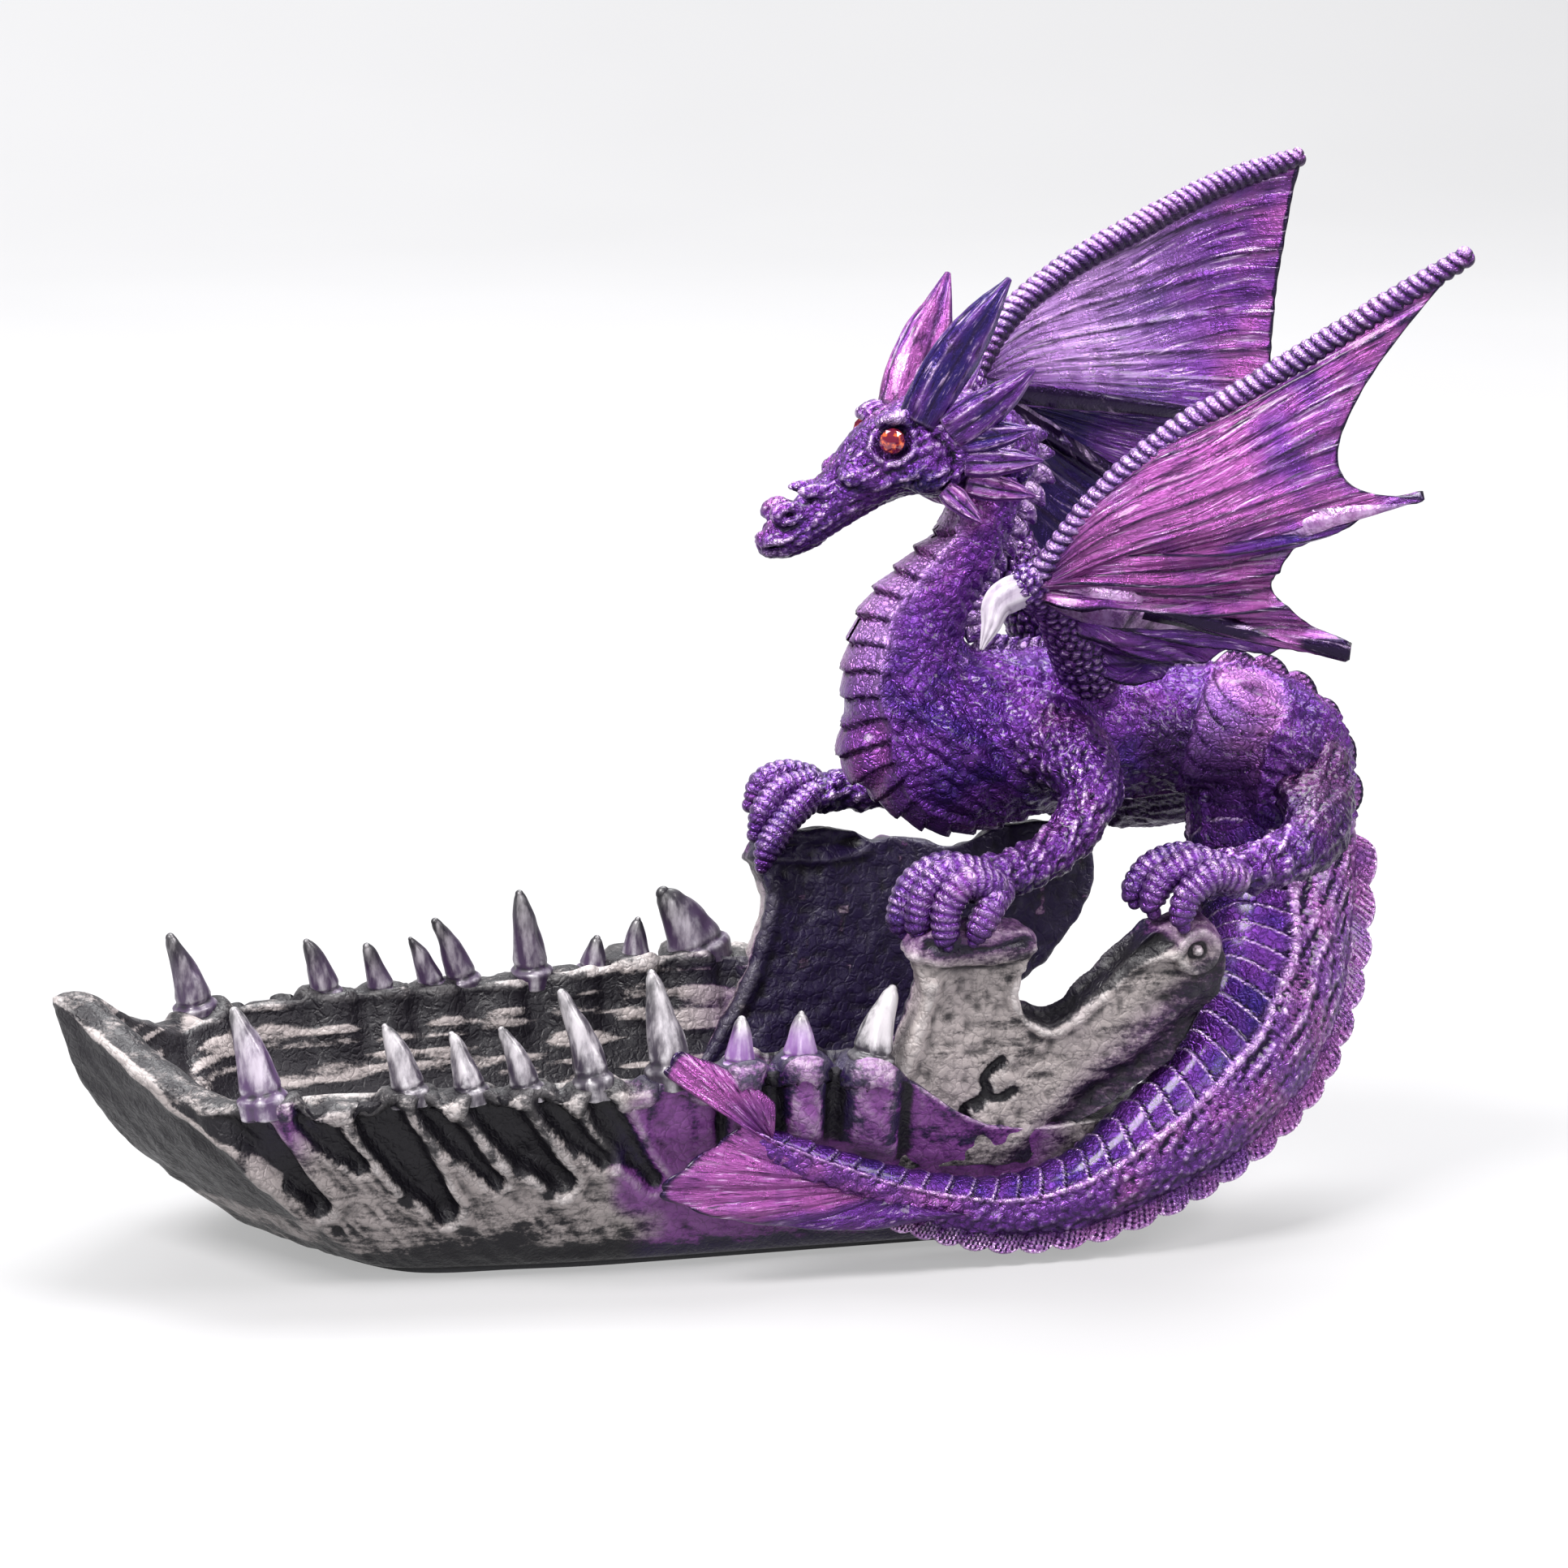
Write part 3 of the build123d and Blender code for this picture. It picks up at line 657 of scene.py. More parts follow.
def jawTray():
    verts, faces, kind = jawSkin()
    mesh = meshOf("jawTray", [(verts, faces)])
    v = getVerts(mesh)
    x, y, z = v.T
    wall, rim = kind == 1, (kind == 2) | ((kind == 1) & (rimAt(v[:, 0]) - v[:, 2] < 3))
    depth = rimAt(x) - z
    wander = 1.4 * (valueNoise(v, 6, 21) - 0.5)
    amount = np.zeros(len(v))
    tone = np.where(wall, 0.62, np.where(kind >= 3, 0.3, 0.2)) - 0.25 * ease((20 - z) / 16) * wall
    purple = np.zeros(len(v))
    flat = np.column_stack([x + wander, z])
    dark = np.zeros(len(v))
    for x0, z0, x1, z1, wide, deep in hollows:
        gap, along = nearLine(flat, [(x0 - 2, z0 + 3), (x0, z0), ((x0 + x1) / 2 - 0.8, (z0 + z1) / 2),
                                     (x1, z1)])
        half = wide * (0.62 + 0.5 * np.sin(np.pi * np.clip(along * 1.1, 0, 1)))
        dark = np.maximum(dark, deep * ease((half + 0.9 - gap) / 1.8))
        amount += jawForm["ribHeight"] * bell(gap - half - 1.7, 1.3) * deep
    dark *= wall
    amount = amount * wall - jawForm["hollowDepth"] * dark
    tone -= 1.7 * dark
    for px, pz, wide in wallPits:
        pit = bell(np.hypot(x - px, z - pz), wide) * wall
        amount -= 2.2 * pit
        tone -= 1.4 * pit
    for k, (along, out, _, radius, *_) in enumerate(toothTable):
        if k > 5:  # tall round roots under the rear teeth
            size = radius * (1.0, 1.05, 1.25)[k - 6]
            gapX = x - along - 0.05 * depth
            root = np.sqrt(np.clip(1 - (gapX / size) ** 2, 0, 1)) * ease((24 - depth) / 8) * wall
            amount += 4.2 * root - 1.8 * bell(np.abs(gapX) - size - 1.2, 1.2) * ease((22 - depth) / 8) * wall
            tone += 0.1 * root - 0.7 * bell(np.abs(gapX) - size - 1.0, 1.6) * ease((22 - depth) / 8) * wall
            amount += 0.9 * bell(depth - 2.5, 1.0) * root - 0.6 * bell(depth - 4.5, 0.9) * root
        gap = np.hypot(x - along, np.abs(y) - out)
        amount += jawForm["collar"] * bell(gap - radius - 0.9, 1.6) * rim
        tone -= 0.5 * bell(gap - radius, 1.0) * (z > 30)
        inner = np.sqrt(np.clip(1 - ((x - along - 1.5) / (radius * 1.1)) ** 2, 0,
                                1)) * (kind == 3) * ease((20 - depth) / 14)
        amount += 2.0 * inner
        tone += np.where(kind == 3, 0.3 * inner, 0)
    places = np.array([t[0] for t in toothTable])
    middles = np.append(0.5 * (places[1:] + places[:-1]), [-111, -99])
    widths = np.append(0.5 * np.abs(np.diff(places)), [5, 5])
    for along, wide in zip(middles, widths):
        dip = bell(x - along, 0.5 * wide) * rim * (x > -118)
        v[:, 2] -= jawForm["rimDip"] * dip * (1.9 if along > -25 else 1)
    v[:, 2] += rim * 0.9 * (valueNoise(v, 4, 22) - 0.5)
    strokes = valueNoise(np.column_stack([x + 0.8 * z, y * 0.4, (z - 0.7 * x) * 0.16]), 1.5, 23) - 0.5
    rough = valueNoise(v * (1, 1, 2.2), 7, 1) - 0.5 + 0.5 * (valueNoise(v * (1, 1.6, 2.5), 2.6, 2) - 0.5)
    amount += (np.where(wall, 0.8, 0.7) * rough + 0.7 * strokes * wall) * (z > 2.5)
    tone += 0.5 * strokes * wall
    # the smooth black cheek under the beak, with a painted highlight line along its edge
    line = nearLine(flat, [(-166, 66), (-157, 59), (-149, 51), (-140, 43), (-133, 38.5), (-125, 33),
                           (-118, 26)])[0]
    bow = ease((-(x + 1.05 * (z - 46) + 142)) / 3) * ease((z - 13) / 9) * wall
    bow = np.maximum(bow, bell(nearLine(flat, [(-147, 47), (-139, 40), (-131, 33)])[0] - 3.5,
                               3.5) * wall * 0.8)
    tone -= 1.7 * bow
    amount += 1.0 * bell(line, 1.3) * wall
    # painted highlight along the cheek's edge and just under the front rim
    tone += 1.9 * bell(line, 1.1) * wall + 0.9 * bell(rimAt(x) - z - 0.6, 1.1) * (x < -122) * (kind <= 2)
    streaks = valueNoise(np.column_stack([x * 0.1, y * 0.1, z]), 1.5, 31) - 0.5
    tone += np.where(kind == 3, 2.8 * streaks - 0.22, 0)
    amount += np.where(kind == 3, 0.7 * streaks, 0)
    tone -= 0.8 * ease((9 - z) / 7) * (wall | (kind == 0)) + 0.4 * bell(x + 70,
            10) * ease((16 - z) / 10) * wall
    stain = (ease((x + 42 + 22 * (valueNoise(v, 10, 35) - 0.5)) / 12) * ease((66 - x) / 16)
             * (y < 0) * (wall | rim))
    purple = np.clip(1.1 * stain, 0, 0.9)
    tone += 0.35 * bell(x + 26, 12) * bell(z - 26, 12) * stain - 0.25 * stain * ease((x + 10) / 30) * (z > 26)
    purple = np.maximum(purple, 0.75 * bell(x + 117, 5) * bell(depth - 5, 7) * (y < 0) * wall)
    purple = np.maximum(purple, 0.8 * ease((x + 10) / 40) * (kind >= 3))
    tone = np.where(kind >= 3, tone - 0.4 * ease((x + 20) / 50), tone)
    setVerts(mesh, v)
    pushed(mesh, relaxed(mesh, amount, 1))
    v = getVerts(mesh)
    v[:, 2] = np.maximum(v[:, 2], jawForm["bottom"])
    v[:, 0] = np.maximum(v[:, 0], 1000 * cadBox[0][0] + 0.2)
    setVerts(mesh, v)
    makePiece(mesh, bone, ["jaw_tray"], {"tone": tone, "purple": purple})


def tooth(side, number):
    along, out, height, radius, leanX, leanY = toothTable[number - 1]
    if side == far:
        along, height = farTeeth.get(number, (along, 0.86 * height))
        leanX = -9 if number == 9 else leanX
        radius = 6.2 if number == 9 else radius * 0.92
    broad = 1.3 if (side, number) == (far, 9) else 0.92
    low = rimAt(np.array([along]))[0] - 2.2
    full = height + 2.2
    widths = ((0, 1.06), (0.12, 1.05), (0.22, 0.95), (0.4, 0.8), (0.62, 0.63), (0.82, 0.46), (0.94, 0.33),
              (1, 0.2))
    stations = [(along + leanX * s**1.6, side * (out + leanY * s**1.7), low + full * s, radius * w,
                 radius * w * broad)
                for s, w in widths]
    verts, faces, s, angle = limb(stations, 50, 40, (0.1, 0.9))
    node = f"tooth_{'near' if side == near else 'far'}_{number}"
    mesh = meshOf(node, [(verts, faces)])
    u = s / s.max()
    flutes = 0.13 * np.sin(7 * angle + 3 * u) * ease((0.95 - u) / 0.4)
    ring = 0.45 * bell(u - 0.16, 0.035) - 0.5 * bell(u - 0.23, 0.03)
    uneven = 0.9 * (valueNoise(verts * (1, 1, 0.5), 2.6, number) - 0.5)
    pushed(mesh, (flutes + ring * 0.9 + uneven) * np.clip(radius / 5, 0.5, 1))
    bright = 0.78 if number == 9 and side == near else (0.4 if side == near else 0.1)
    # the angle terms paint a highlight on each tooth's -Y side and shade on its other sides
    tone = (ease((u - 0.2) / 0.3) * bright - 0.26 * np.cos(angle) - 0.2 * np.abs(np.sin(angle))
            + 0.08 * np.sin(angle * 2 + 4 * u))
    purple = np.full(len(u), {7: 0.65, 8: 0.65, 1: 0.2}.get(number, 0.04) if side == near else 0.12)
    purple *= ease((1.0 - u) / 0.5) * (0.4 if bright > 0.7 else 1)
    makePiece(mesh, enamel, [node], {"tone": tone, "purple": purple})


branchForm = dict(footY=41.0, lean=math.radians(10.5), thick=9.0, farForward=9.0, voxel=0.75)
branchOutline = [(5, 22), (11, 29), (17, 38), (22.5, 48), (26, 58), (28, 66), (25, 71), (23.5, 76),
                 (25.5, 80),
                 (32, 81), (42, 80.8), (50, 80.2), (52.8, 77)]
notch = {near: [(51.8, 72.5), (48.5, 69), (47.8, 64.5), (51, 59.5), (57, 57.2), (62, 60), (67.5, 65.5),
                (73, 72), (79, 78)],
         far: [(58, 78.5), (66, 76.5), (73, 75), (79, 77)]}
branchBack = {near: [(86, 80), (92.5, 79.5), (96.5, 75), (98, 69.5), (97, 62), (93.5, 54), (87, 45), (78, 38),
                     (67.5, 31.5), (54, 22)],
              far: [(86, 80), (96, 80), (105, 78.5), (109, 73), (109, 65), (104, 55), (95, 45.5), (83, 37),
                    (69, 30), (54, 22)]}


def leaned(points, side, forward):  # from the branch's own plane to its place
    x, y, z = points.T
    out = branchForm["footY"] + z * math.sin(branchForm["lean"]) + y * math.cos(branchForm["lean"])
    up = z * math.cos(branchForm["lean"]) - y * math.sin(branchForm["lean"])
    return np.column_stack([x - forward, side * out, up])


def branch(side):
    name = "nearBranch" if side == near else "farBranch"
    node = "near_branch" if side == near else "far_branch"
    forward = branchForm["farForward"] if side == far else 0
    outline = branchOutline + notch[side] + branchBack[side]
    count, half = len(outline), branchForm["thick"] / 2
    slab = np.array([(x, -half, z) for x, z in outline] + [(x, half, z) for x, z in outline])
    sides = [[i, (i + 1) % count, (i + 1) % count + count, i + count] for i in range(count)]
    caps = [list(range(count))[::-1], list(range(count, 2 * count))]
    knuckle = lump(89, 1.5, 73.5, 7.2, 6.5, 6.4)
    horn = lump(38.5, 1, 77, 14.8, 7.2, 4.4)
    mesh = fused(name, [(slab, sides + caps), knuckle, horn], branchForm["voxel"], 8)
    v = getVerts(mesh)
    x, _, z = v.T
    outer = ease((getNormals(mesh)[:, 1] + 0.35) / 0.5)

    def onLine(points, width):
        return bell(nearLine(v[:, ::2], points)[0], width)

    # under the rolled edge of the notch, with painted shade in the hollow below it
    hollow = onLine([(52, 60), (58, 58), (66, 64), (74, 71), (80, 75)], 2.6) * outer
    roll = onLine([(50, 70), (47.5, 64), (51, 58), (58, 54.5), (66, 60), (76, 70), (84, 73)], 1.2)
    amount = -2.4 * hollow + 1.5 * roll * outer
    amount += 1.6 * onLine([(8, 26), (19, 40), (26, 56), (28.5, 68)], 1.8)
    amount += 1.4 * onLine([(92, 64), (80, 52), (66, 41), (50, 28)], 2.6) * outer
    amount -= 2.6 * onLine([(93, 56), (80, 46), (66, 36), (58, 28)], 5.0) * outer
    ringGap = np.hypot(x - 90, z - 73.5)
    amount += (1.3 * bell(ringGap - 4.3, 1.0) - 2.4 * bell(ringGap - 2.2, 1.0)) * outer
    amount += 1.1 * onLine([(24, 75), (34, 73.5), (44, 73.5), (52, 75)],
                           0.9) - 1.8 * onLine([(27, 78), (38, 77), (49, 77.5)], 1.7)
    amount -= 1.6 * bell(np.hypot((x - 36) / 1.2, z - 61), 7) * outer
    crack = 0
    for path in ([(31, 24), (34, 28), (36, 31.5)], [(35, 29), (39, 33), (37.5, 36.5), (41.5, 39)],
                 [(40.5, 37), (43, 41), (42, 44), (46, 48.5)],
                 [(38, 33), (33, 34), (31, 36)], [(42, 40), (46, 39), (49, 41)]):
        crack = np.maximum(crack, onLine(path, 0.8))
    crack = crack * outer
    amount -= 2.2 * crack
    amount += 1.6 * (valueNoise(v * (1, 1, 0.6), 6, 3) - 0.5) + 0.8 * (valueNoise(v, 2.2, 4) - 0.5)
    worn = valueNoise(v * (1, 1, 0.5), 9, 24) - 0.5
    tone = 0.72 + 0.7 * worn + 0.8 * onLine([(8, 26), (19, 40), (26, 56), (28.5, 68)], 2.4) - 1.8 * crack
    # painted shade: in the hollow under the roll, on the lower rear of the branch and in the groove below the
    # top edge
    tone += 0.6 * roll - 1.6 * hollow - 0.55 * ease((x + 0.9 * (45 - z) - 62) / 14)
    tone -= 0.7 * onLine([(27, 78), (38, 77), (49, 77.5)], 2.2) + 0.25 * ease((34 - z) / 12)
    # painted shade: the inward faces, and the whole far branch, are made darker
    tone = tone * outer - (0.45 if side == far else 0.1) * (1 - outer) + (0 if side == near else -0.35)
    purple = (0.25 * ease((x + 0.9 * (45 - z) - 60) / 14) + 0.5 * ease((z - 72) / 6) + 0.25 * worn
              + (0.75 if side == far else 0.3) * (1 - outer))
    flecks = valueNoise(v, 1.7, 25) * valueNoise(v * (1, 1, 0.4), 5, 26)
    fleck = ease((flecks - 0.48) / 0.08) * (1 - outer)
    tone += 1.1 * fleck
    purple -= 0.6 * fleck
    purple = np.clip(purple, 0, 0.85)
    pushed(mesh, relaxed(mesh, amount, 1))
    v = leaned(getVerts(mesh), side, forward)
    setVerts(mesh, v)
    if side == near:
        mesh.flip_normals()
    makePiece(mesh, bone, [node], {"tone": tone, "purple": purple})


jawTray()
for side in (near, far):
    branch(side)
    for number in range(1, 10):
        tooth(side, number)
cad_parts["felt_pad"].data.materials.clear()
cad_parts["felt_pad"].data.materials.append(felt)
print("jaw, branches and teeth done")


# ---- the dragon's trunk, neck and head

neckLine = [(58, 0, 171, 8, 8.5), (53, 0, 157, 8.5, 8), (45, 0, 147, 9.5, 10), (39, 0, 136, 12, 13.5),
            (40, 0, 123, 15, 17), (48, 0, 112, 17, 18)]
chestLine = [(29, 0, 110, 10, 10), (34, 0, 110, 15, 15.5), (48, 0, 110, 21, 21.5), (68, 0, 112, 22, 19.5),
             (90, 0, 111, 18, 16), (108, 0, 111, 16, 14.5)]
rumpLine = [(102, 0, 111, 15, 14), (117, 0, 110, 18, 15.5), (127, 0, 103, 18.5, 19), (127.5, 0, 93, 17.5, 20),
            (127.5, -1, 84, 16.5, 20)]
bandLine = [(118, -13, 121), (112, -15.5, 112), (109.5, -16, 102), (108.5, -17, 92), (110, -18, 83)]
bellyLine = [(48, 0, 172), (46.5, 0, 166), (45, 0, 158), (35, 0, 149.5), (27, 0, 138.5), (22.4, 0, 123.5),
             (23.3, 0, 112),
             (27, 0, 102), (37, 0, 92), (51, 0, 88), (70, 0, 92), (92, 0, 95)]
bodyForm = dict(voxel=0.62, scale=2.5, scaleHeight=0.62, bigScale=4.6, plate=6.6, plateStep=1.25,
                bandPlate=5.2)


def dragonBody():
    parts = [limb(line)[:2] for line in (neckLine, chestLine, rumpLine)]
    for side in (near, far):
        parts.append(lump(66, side * 17, 113, 14, 9, 12))
        parts.append(lump(76, side * 14, 124, 9, 7, 7))
        parts.append(lump(126, side * 15, 101, 10, 7, 14))
    mesh = fused("dragonBody", parts, bodyForm["voxel"], 10)
    v, n = getVerts(mesh), getNormals(mesh)
    dist, place = nearLine(v, bellyLine, 260)
    path = smoothPath(bellyLine, 260)
    steps = np.concatenate([[0], np.cumsum(np.linalg.norm(np.diff(path, axis=0), axis=1))])
    along = unit(np.gradient(path, axis=0))[(place * 259).astype(int)]
    outward = np.column_stack([along[:, 2], np.zeros(len(v)), -along[:, 0]])
    facing = -(n * outward).sum(1)
    facing = np.maximum(facing, 0) if facing[dist < 1].mean() > 0 else -facing
    wide = np.interp(place, [0, 0.15, 0.4, 0.6, 0.8, 1], [5.5, 6.0, 10.5, 13.5, 14, 10])
    sideways = np.abs(v[:, 1]) + 0.8 * (valueNoise(v, 5, 6) - 0.5)
    belly = ease((wide - sideways) / 0.8 + 0.5) * ease((facing - 0.05) / 0.2) * (dist < 24)
    s = steps[(place * 259).astype(int)] + 0.16 * sideways**1.25
    step = (s / bodyForm["plate"]) % 1
    plates = bodyForm["plateStep"] * (step**1.3 - 0.4) - 1.3 * bell((step + 0.02) % 1, 0.07)
    edge = bell(sideways - wide, 0.8) * ease((facing + 0.3) / 0.3) * (dist < 26)
    flow = (0.75, 0, -0.6)
    fine = scaleRelief(v, bodyForm["scale"], flow, 1)
    big = scaleRelief(v, bodyForm["bigScale"], flow, 2, 0.7)
    carved = strokes(v, flow, 1.7, 41)
    shoulder = np.maximum(bell(np.linalg.norm((v - (68, 0, 116)) * (1, 0.4, 1), axis=1), 20), 0)
    pebble = fine * (1 - shoulder) + big * 1.25 * shoulder
    amount = (belly * plates + (1 - belly) * (bodyForm["scaleHeight"] * (pebble - 0.35) + 1.7 * carved)
              + 1.0 * edge)
    folds = nearLine(v, [(36, -17, 122), (48, -20, 112), (60, -20, 102), (72, -17, 97)])[0]
    folds = np.minimum(folds, nearLine(v, [(36, 17, 122), (48, 20, 112), (60, 20, 102), (72, 17, 97)])[0])
    amount += 1.6 * bell(folds, 3.2) * (1 - belly)
    amount += 0.5 * (valueNoise(v, 9, 7) - 0.5)
    # belly plates again on the near face of the haunch, beside a patch of coarse scales given painted shade
    gap, place2 = nearLine(v, bandLine, 200)
    bandSteps = 42.0 * place2
    facing2 = n @ unit(np.array([-0.62, -0.78, 0.05]))
    band = ease((9.6 - gap) / 1.4 + 0.5) * ease((facing2 + 0.05) / 0.25)
    curve = bandSteps + 0.05 * gap**2
    step2 = (curve / bodyForm["bandPlate"]) % 1
    amount = amount * (1 - band) + band * (1.3 * ((1 - step2) ** 1.2 - 0.45) - 0.8 * bell((step2 + 0.02) % 1,
            0.08))
    amount += 1.1 * bell(gap - 10.2, 1.0) * ease((facing2 + 0.2) / 0.3) * (v[:, 0] > 96)
    # the coarse scale patch, which also gets painted shade below
    patch = bell(np.linalg.norm((v - (130, -19, 99)) * (1.25, 0.8, 0.9), axis=1),
                 13) * (1 - band) * (v[:, 1] < 0)
    amount += 0.8 * patch * (scaleRelief(v, 1.9, (0, 0, -1), 9, 0.9) - 0.4)
    # the -n[:, 0] term is a painted highlight, turning faces towards -X more magenta
    tint = 0.46 + 0.14 * belly - 0.1 * n[:, 0] + 0.1 * (v[:,
                                                          2] - 120) / 40 + 0.2 * band * ease((v[:,
                                                                  2] - 92) / 20)
    tint -= 0.18 * bell(np.linalg.norm((v - (42, -18, 118)), axis=1), 16)
    tint = np.where(v[:, 0] > 136, tint + 0.22, tint)
    shade = 0.7 * ease((-n[:, 2] - 0.3) / 0.6) * (v[:, 0] > 44)
    # painted shade on the lower flank between the foreleg and the haunch
    flankShade = ease((v[:, 0] - 86) / 8) * ease((124 - v[:,
                                                      2]) / 12) * (1 - ease((v[:, 0] - 104) / 3)) * (1 - band)
    shade = np.maximum(np.maximum(shade * (1 - band), 0.8 * flankShade), 0.72 * patch)
    lines = np.maximum(belly * bell((step + 0.5) % 1 - 0.5, 0.1), band * bell((step2 + 0.5) % 1 - 0.5, 0.15))
    shade = np.maximum(shade * (1 - 0.6 * belly), 0.8 * lines)
    # painted highlight: the belly plates, their edges and the haunch band are paler higher up
    high = ease((v[:, 2] - 112) / 30)
    painted_highlight = 0.75 * belly * high + 0.55 * edge * high + 0.36 * band * ease((v[:, 2] - 88) / 24)
    painted_highlight = np.clip(painted_highlight * (1 - lines) * (0.8 + 0.4 * (valueNoise(v, 4, 33) - 0.5)), 0, 0.9)
    pushed(mesh, amount)
    makePiece(mesh, scalePaint, ["dragon_body"],
              {"tint": tint, "shade": np.clip(shade, 0, 0.9), "painted_highlight": painted_highlight})


headLine = [(64, 0, 175.5, 7, 8), (55, 0, 179.5, 11.5, 11.5), (43, 0, 180, 13, 12), (33, 0, 177, 11.5, 9.6),
            (22, 0, 168.6, 7.6, 6.6), (13, 0, 162, 5.7, 5.6), (7.5, 0, 159.2, 5.1, 4.9),
            (5, 0, 158, 4.0, 3.5)]
headForm = dict(voxel=0.45, scale=1.7, scaleHeight=0.22)


def dragonHead():
    parts = [limb(headLine)[:2]]
    for side in (near, far):
        parts.append(lump(36, side * 7.5, 187, 7.5, 3.4, 2.6))   # brow
        parts.append(lump(41, side * 9.5, 175, 8, 4.5, 5))         # cheek
        parts.append(lump(27, side * 8.0, 174, 7, 3.2, 3.2))       # under the eye
        parts.append(lump(9, side * 3.8, 165.4, 4.6, 2.8, 3.0))    # nostril mound
        parts.append(lump(18, side * 4.2, 170.5, 7, 1.9, 1.9))     # nose ridge
    for x, z, size in ((43, 192, 2.4), (50, 191.5, 2.4), (57, 188, 2.4)):
        parts.append(lump(x, 0, z, size, 1.6, size))
    mesh = fused("dragonHead", parts, headForm["voxel"], 6)
    v = getVerts(mesh)
    n = getNormals(mesh)
    amount = headForm["scaleHeight"] * (scaleRelief(v, headForm["scale"], (1, 0, 0.3), 3) - 0.4)
    amount += 1.0 * strokes(v, (1, 0, 0.5), 1.2, 42)
    dark = np.zeros(len(v))
    for side in (near, far):
        mouth = [(4, side * 3, 157), (9, side * 6.2, 158), (17, side * 8, 163), (28, side * 10, 169),
                 (37, side * 12, 173)]
        lip = [(p[0], p[1], p[2] + 2.2) for p in mouth]
        groove = nearLine(v, mouth)[0]
        amount += -2.2 * bell(groove, 0.9) + 0.9 * bell(nearLine(v, lip)[0], 1.0)
        dark = np.maximum(dark, bell(groove, 1.1))
        nostril = bell(np.linalg.norm((v - (9, side * 6.0, 165.6)) * (0.8, 1, 1.2), axis=1), 1.5)
        amount -= 2.2 * nostril
        dark = np.maximum(dark, nostril)
        socket = np.linalg.norm(v - (31.5, side * 11, 182.5), axis=1)
        amount += -1.6 * bell(socket, 3.6) + 1.0 * bell(socket - 5.2, 1.1)
        dark = np.maximum(dark, 0.9 * bell(socket - 3.8, 1.0))
        for k, (x, z) in enumerate(((13, 160.2), (18, 163), (23, 165.7), (28, 168.4))):  # teeth along the lip
            amount += 0.9 * bell(np.linalg.norm((v - (x, side * (7 + 0.8 * k), z + 0.6)) * (1, 0.6, 0.7),
                                                axis=1), 0.9)
        ridge = nearLine(v, [(22, side * 6, 175), (28, side * 9, 183), (36, side * 11, 190),
                             (46, side * 11, 191)])[0]
        amount += 1.2 * bell(ridge, 1.3)
        fold = nearLine(v, [(40, side * 12, 186), (46, side * 13, 178), (44, side * 12, 170)])[0]
        amount += -1.2 * bell(fold, 1.2)
        jowl = nearLine(v, [(12, side * 6, 159), (20, side * 8, 163), (28, side * 10, 166),
                            (38, side * 11, 168)])[0]
        amount += 0.9 * bell(jowl, 1.4)
    pushed(mesh, amount)
    # the n[:, 2] term is a painted highlight, more magenta on faces turned up
    tint = 0.5 + 0.15 * n[:, 2] + 0.1 * (30 - v[:, 0]) / 30
    shade = np.maximum(0.6 * ease((-n[:, 2] - 0.3) / 0.5), 0.85 * dark)
    makePiece(mesh, scalePaint, ["dragon_head"], {"tint": tint - 0.08, "shade": shade})


def horn(name, node, stations, side, ridges, tint):
    verts, faces, s, angle = limb(onSide(stations, side), 80, 60, (0.3, 0.9))
    mesh = meshOf(name, [(verts, faces)])
    u = s / s.max()
    facet = np.abs((ridges * angle / (2 * np.pi)) % 1 - 0.5) * 2
    grooves = 0.7 * (facet - 0.5) * ease((1.04 - u) / 0.4) * ease(u / 0.1)
    pushed(mesh, grooves + 0.3 * (valueNoise(getVerts(mesh) * (1, 1, 0.4), 2, 9) - 0.5))
    fields = {"tint": tint + 0.3 * (facet - 0.5),
              "shade": 0.5 * ease((0.3 - facet) / 0.3) + 0.4 * ease((0.15 - u) / 0.15),
              "fan": angle / 6.28, "reach": u}
    return makePiece(mesh, hornPaint, [node] if node else [], fields)


hornLines = {
    near: [(39, 8, 187, 4.2, 5.0), (43, 9.5, 195, 3.2, 5.6), (48, 11.2, 203.5, 2.6, 5.4),
           (53, 13, 211.5, 1.8, 3.6), (58, 14.3, 219, 0.5, 0.8)],
    far: [(39, 8, 187, 4.4, 6.0), (43, 9.5, 195, 3.0, 7.2), (46.5, 11.5, 203.5, 2.4, 6.0),
          (49.5, 13.2, 210.5, 1.5, 3.4), (52, 14.8, 217.5, 0.5, 0.8)]}
frillLine = [(46, 11, 184, 2.6, 5), (52, 14.5, 189, 2.4, 4.8), (58, 18, 194.5, 1.8, 3),
             (62, 20.5, 199, 0.6, 0.9)]
cheekSpikes = [((48, 11.5, 182), (63, 18, 185), 3.6), ((49, 11, 177), (66, 16, 177.5), 3.6),
               ((50, 9.5, 172), (65, 13, 169), 3.3),
               ((44, 11.5, 171), (52, 15, 163.5), 2.6)]


def headTrim():
    for side in (near, far):
        label = "near" if side == near else "far"
        horn(f"horn_{label}", f"horn_{label}", hornLines[side], side, 5, 0.22 if side == near else 0.8)
        horn(f"frill_{label}", f"frill_{label}", frillLine, side, 5, 0.45)
        for k, (start, end, wide) in enumerate(cheekSpikes):
            a, b = np.array(start, float), np.array(end, float)
            line = [(*(a + (b - a) * t), 1.5 * w + 0.2, wide * w) for t,
                    w in ((0, 0.9), (0.3, 1.0), (0.7, 0.62), (1, 0.12))]
            horn(f"cheekSpike_{label}_{k + 1}", None, line, side, 5, 0.3 + 0.12 * k)


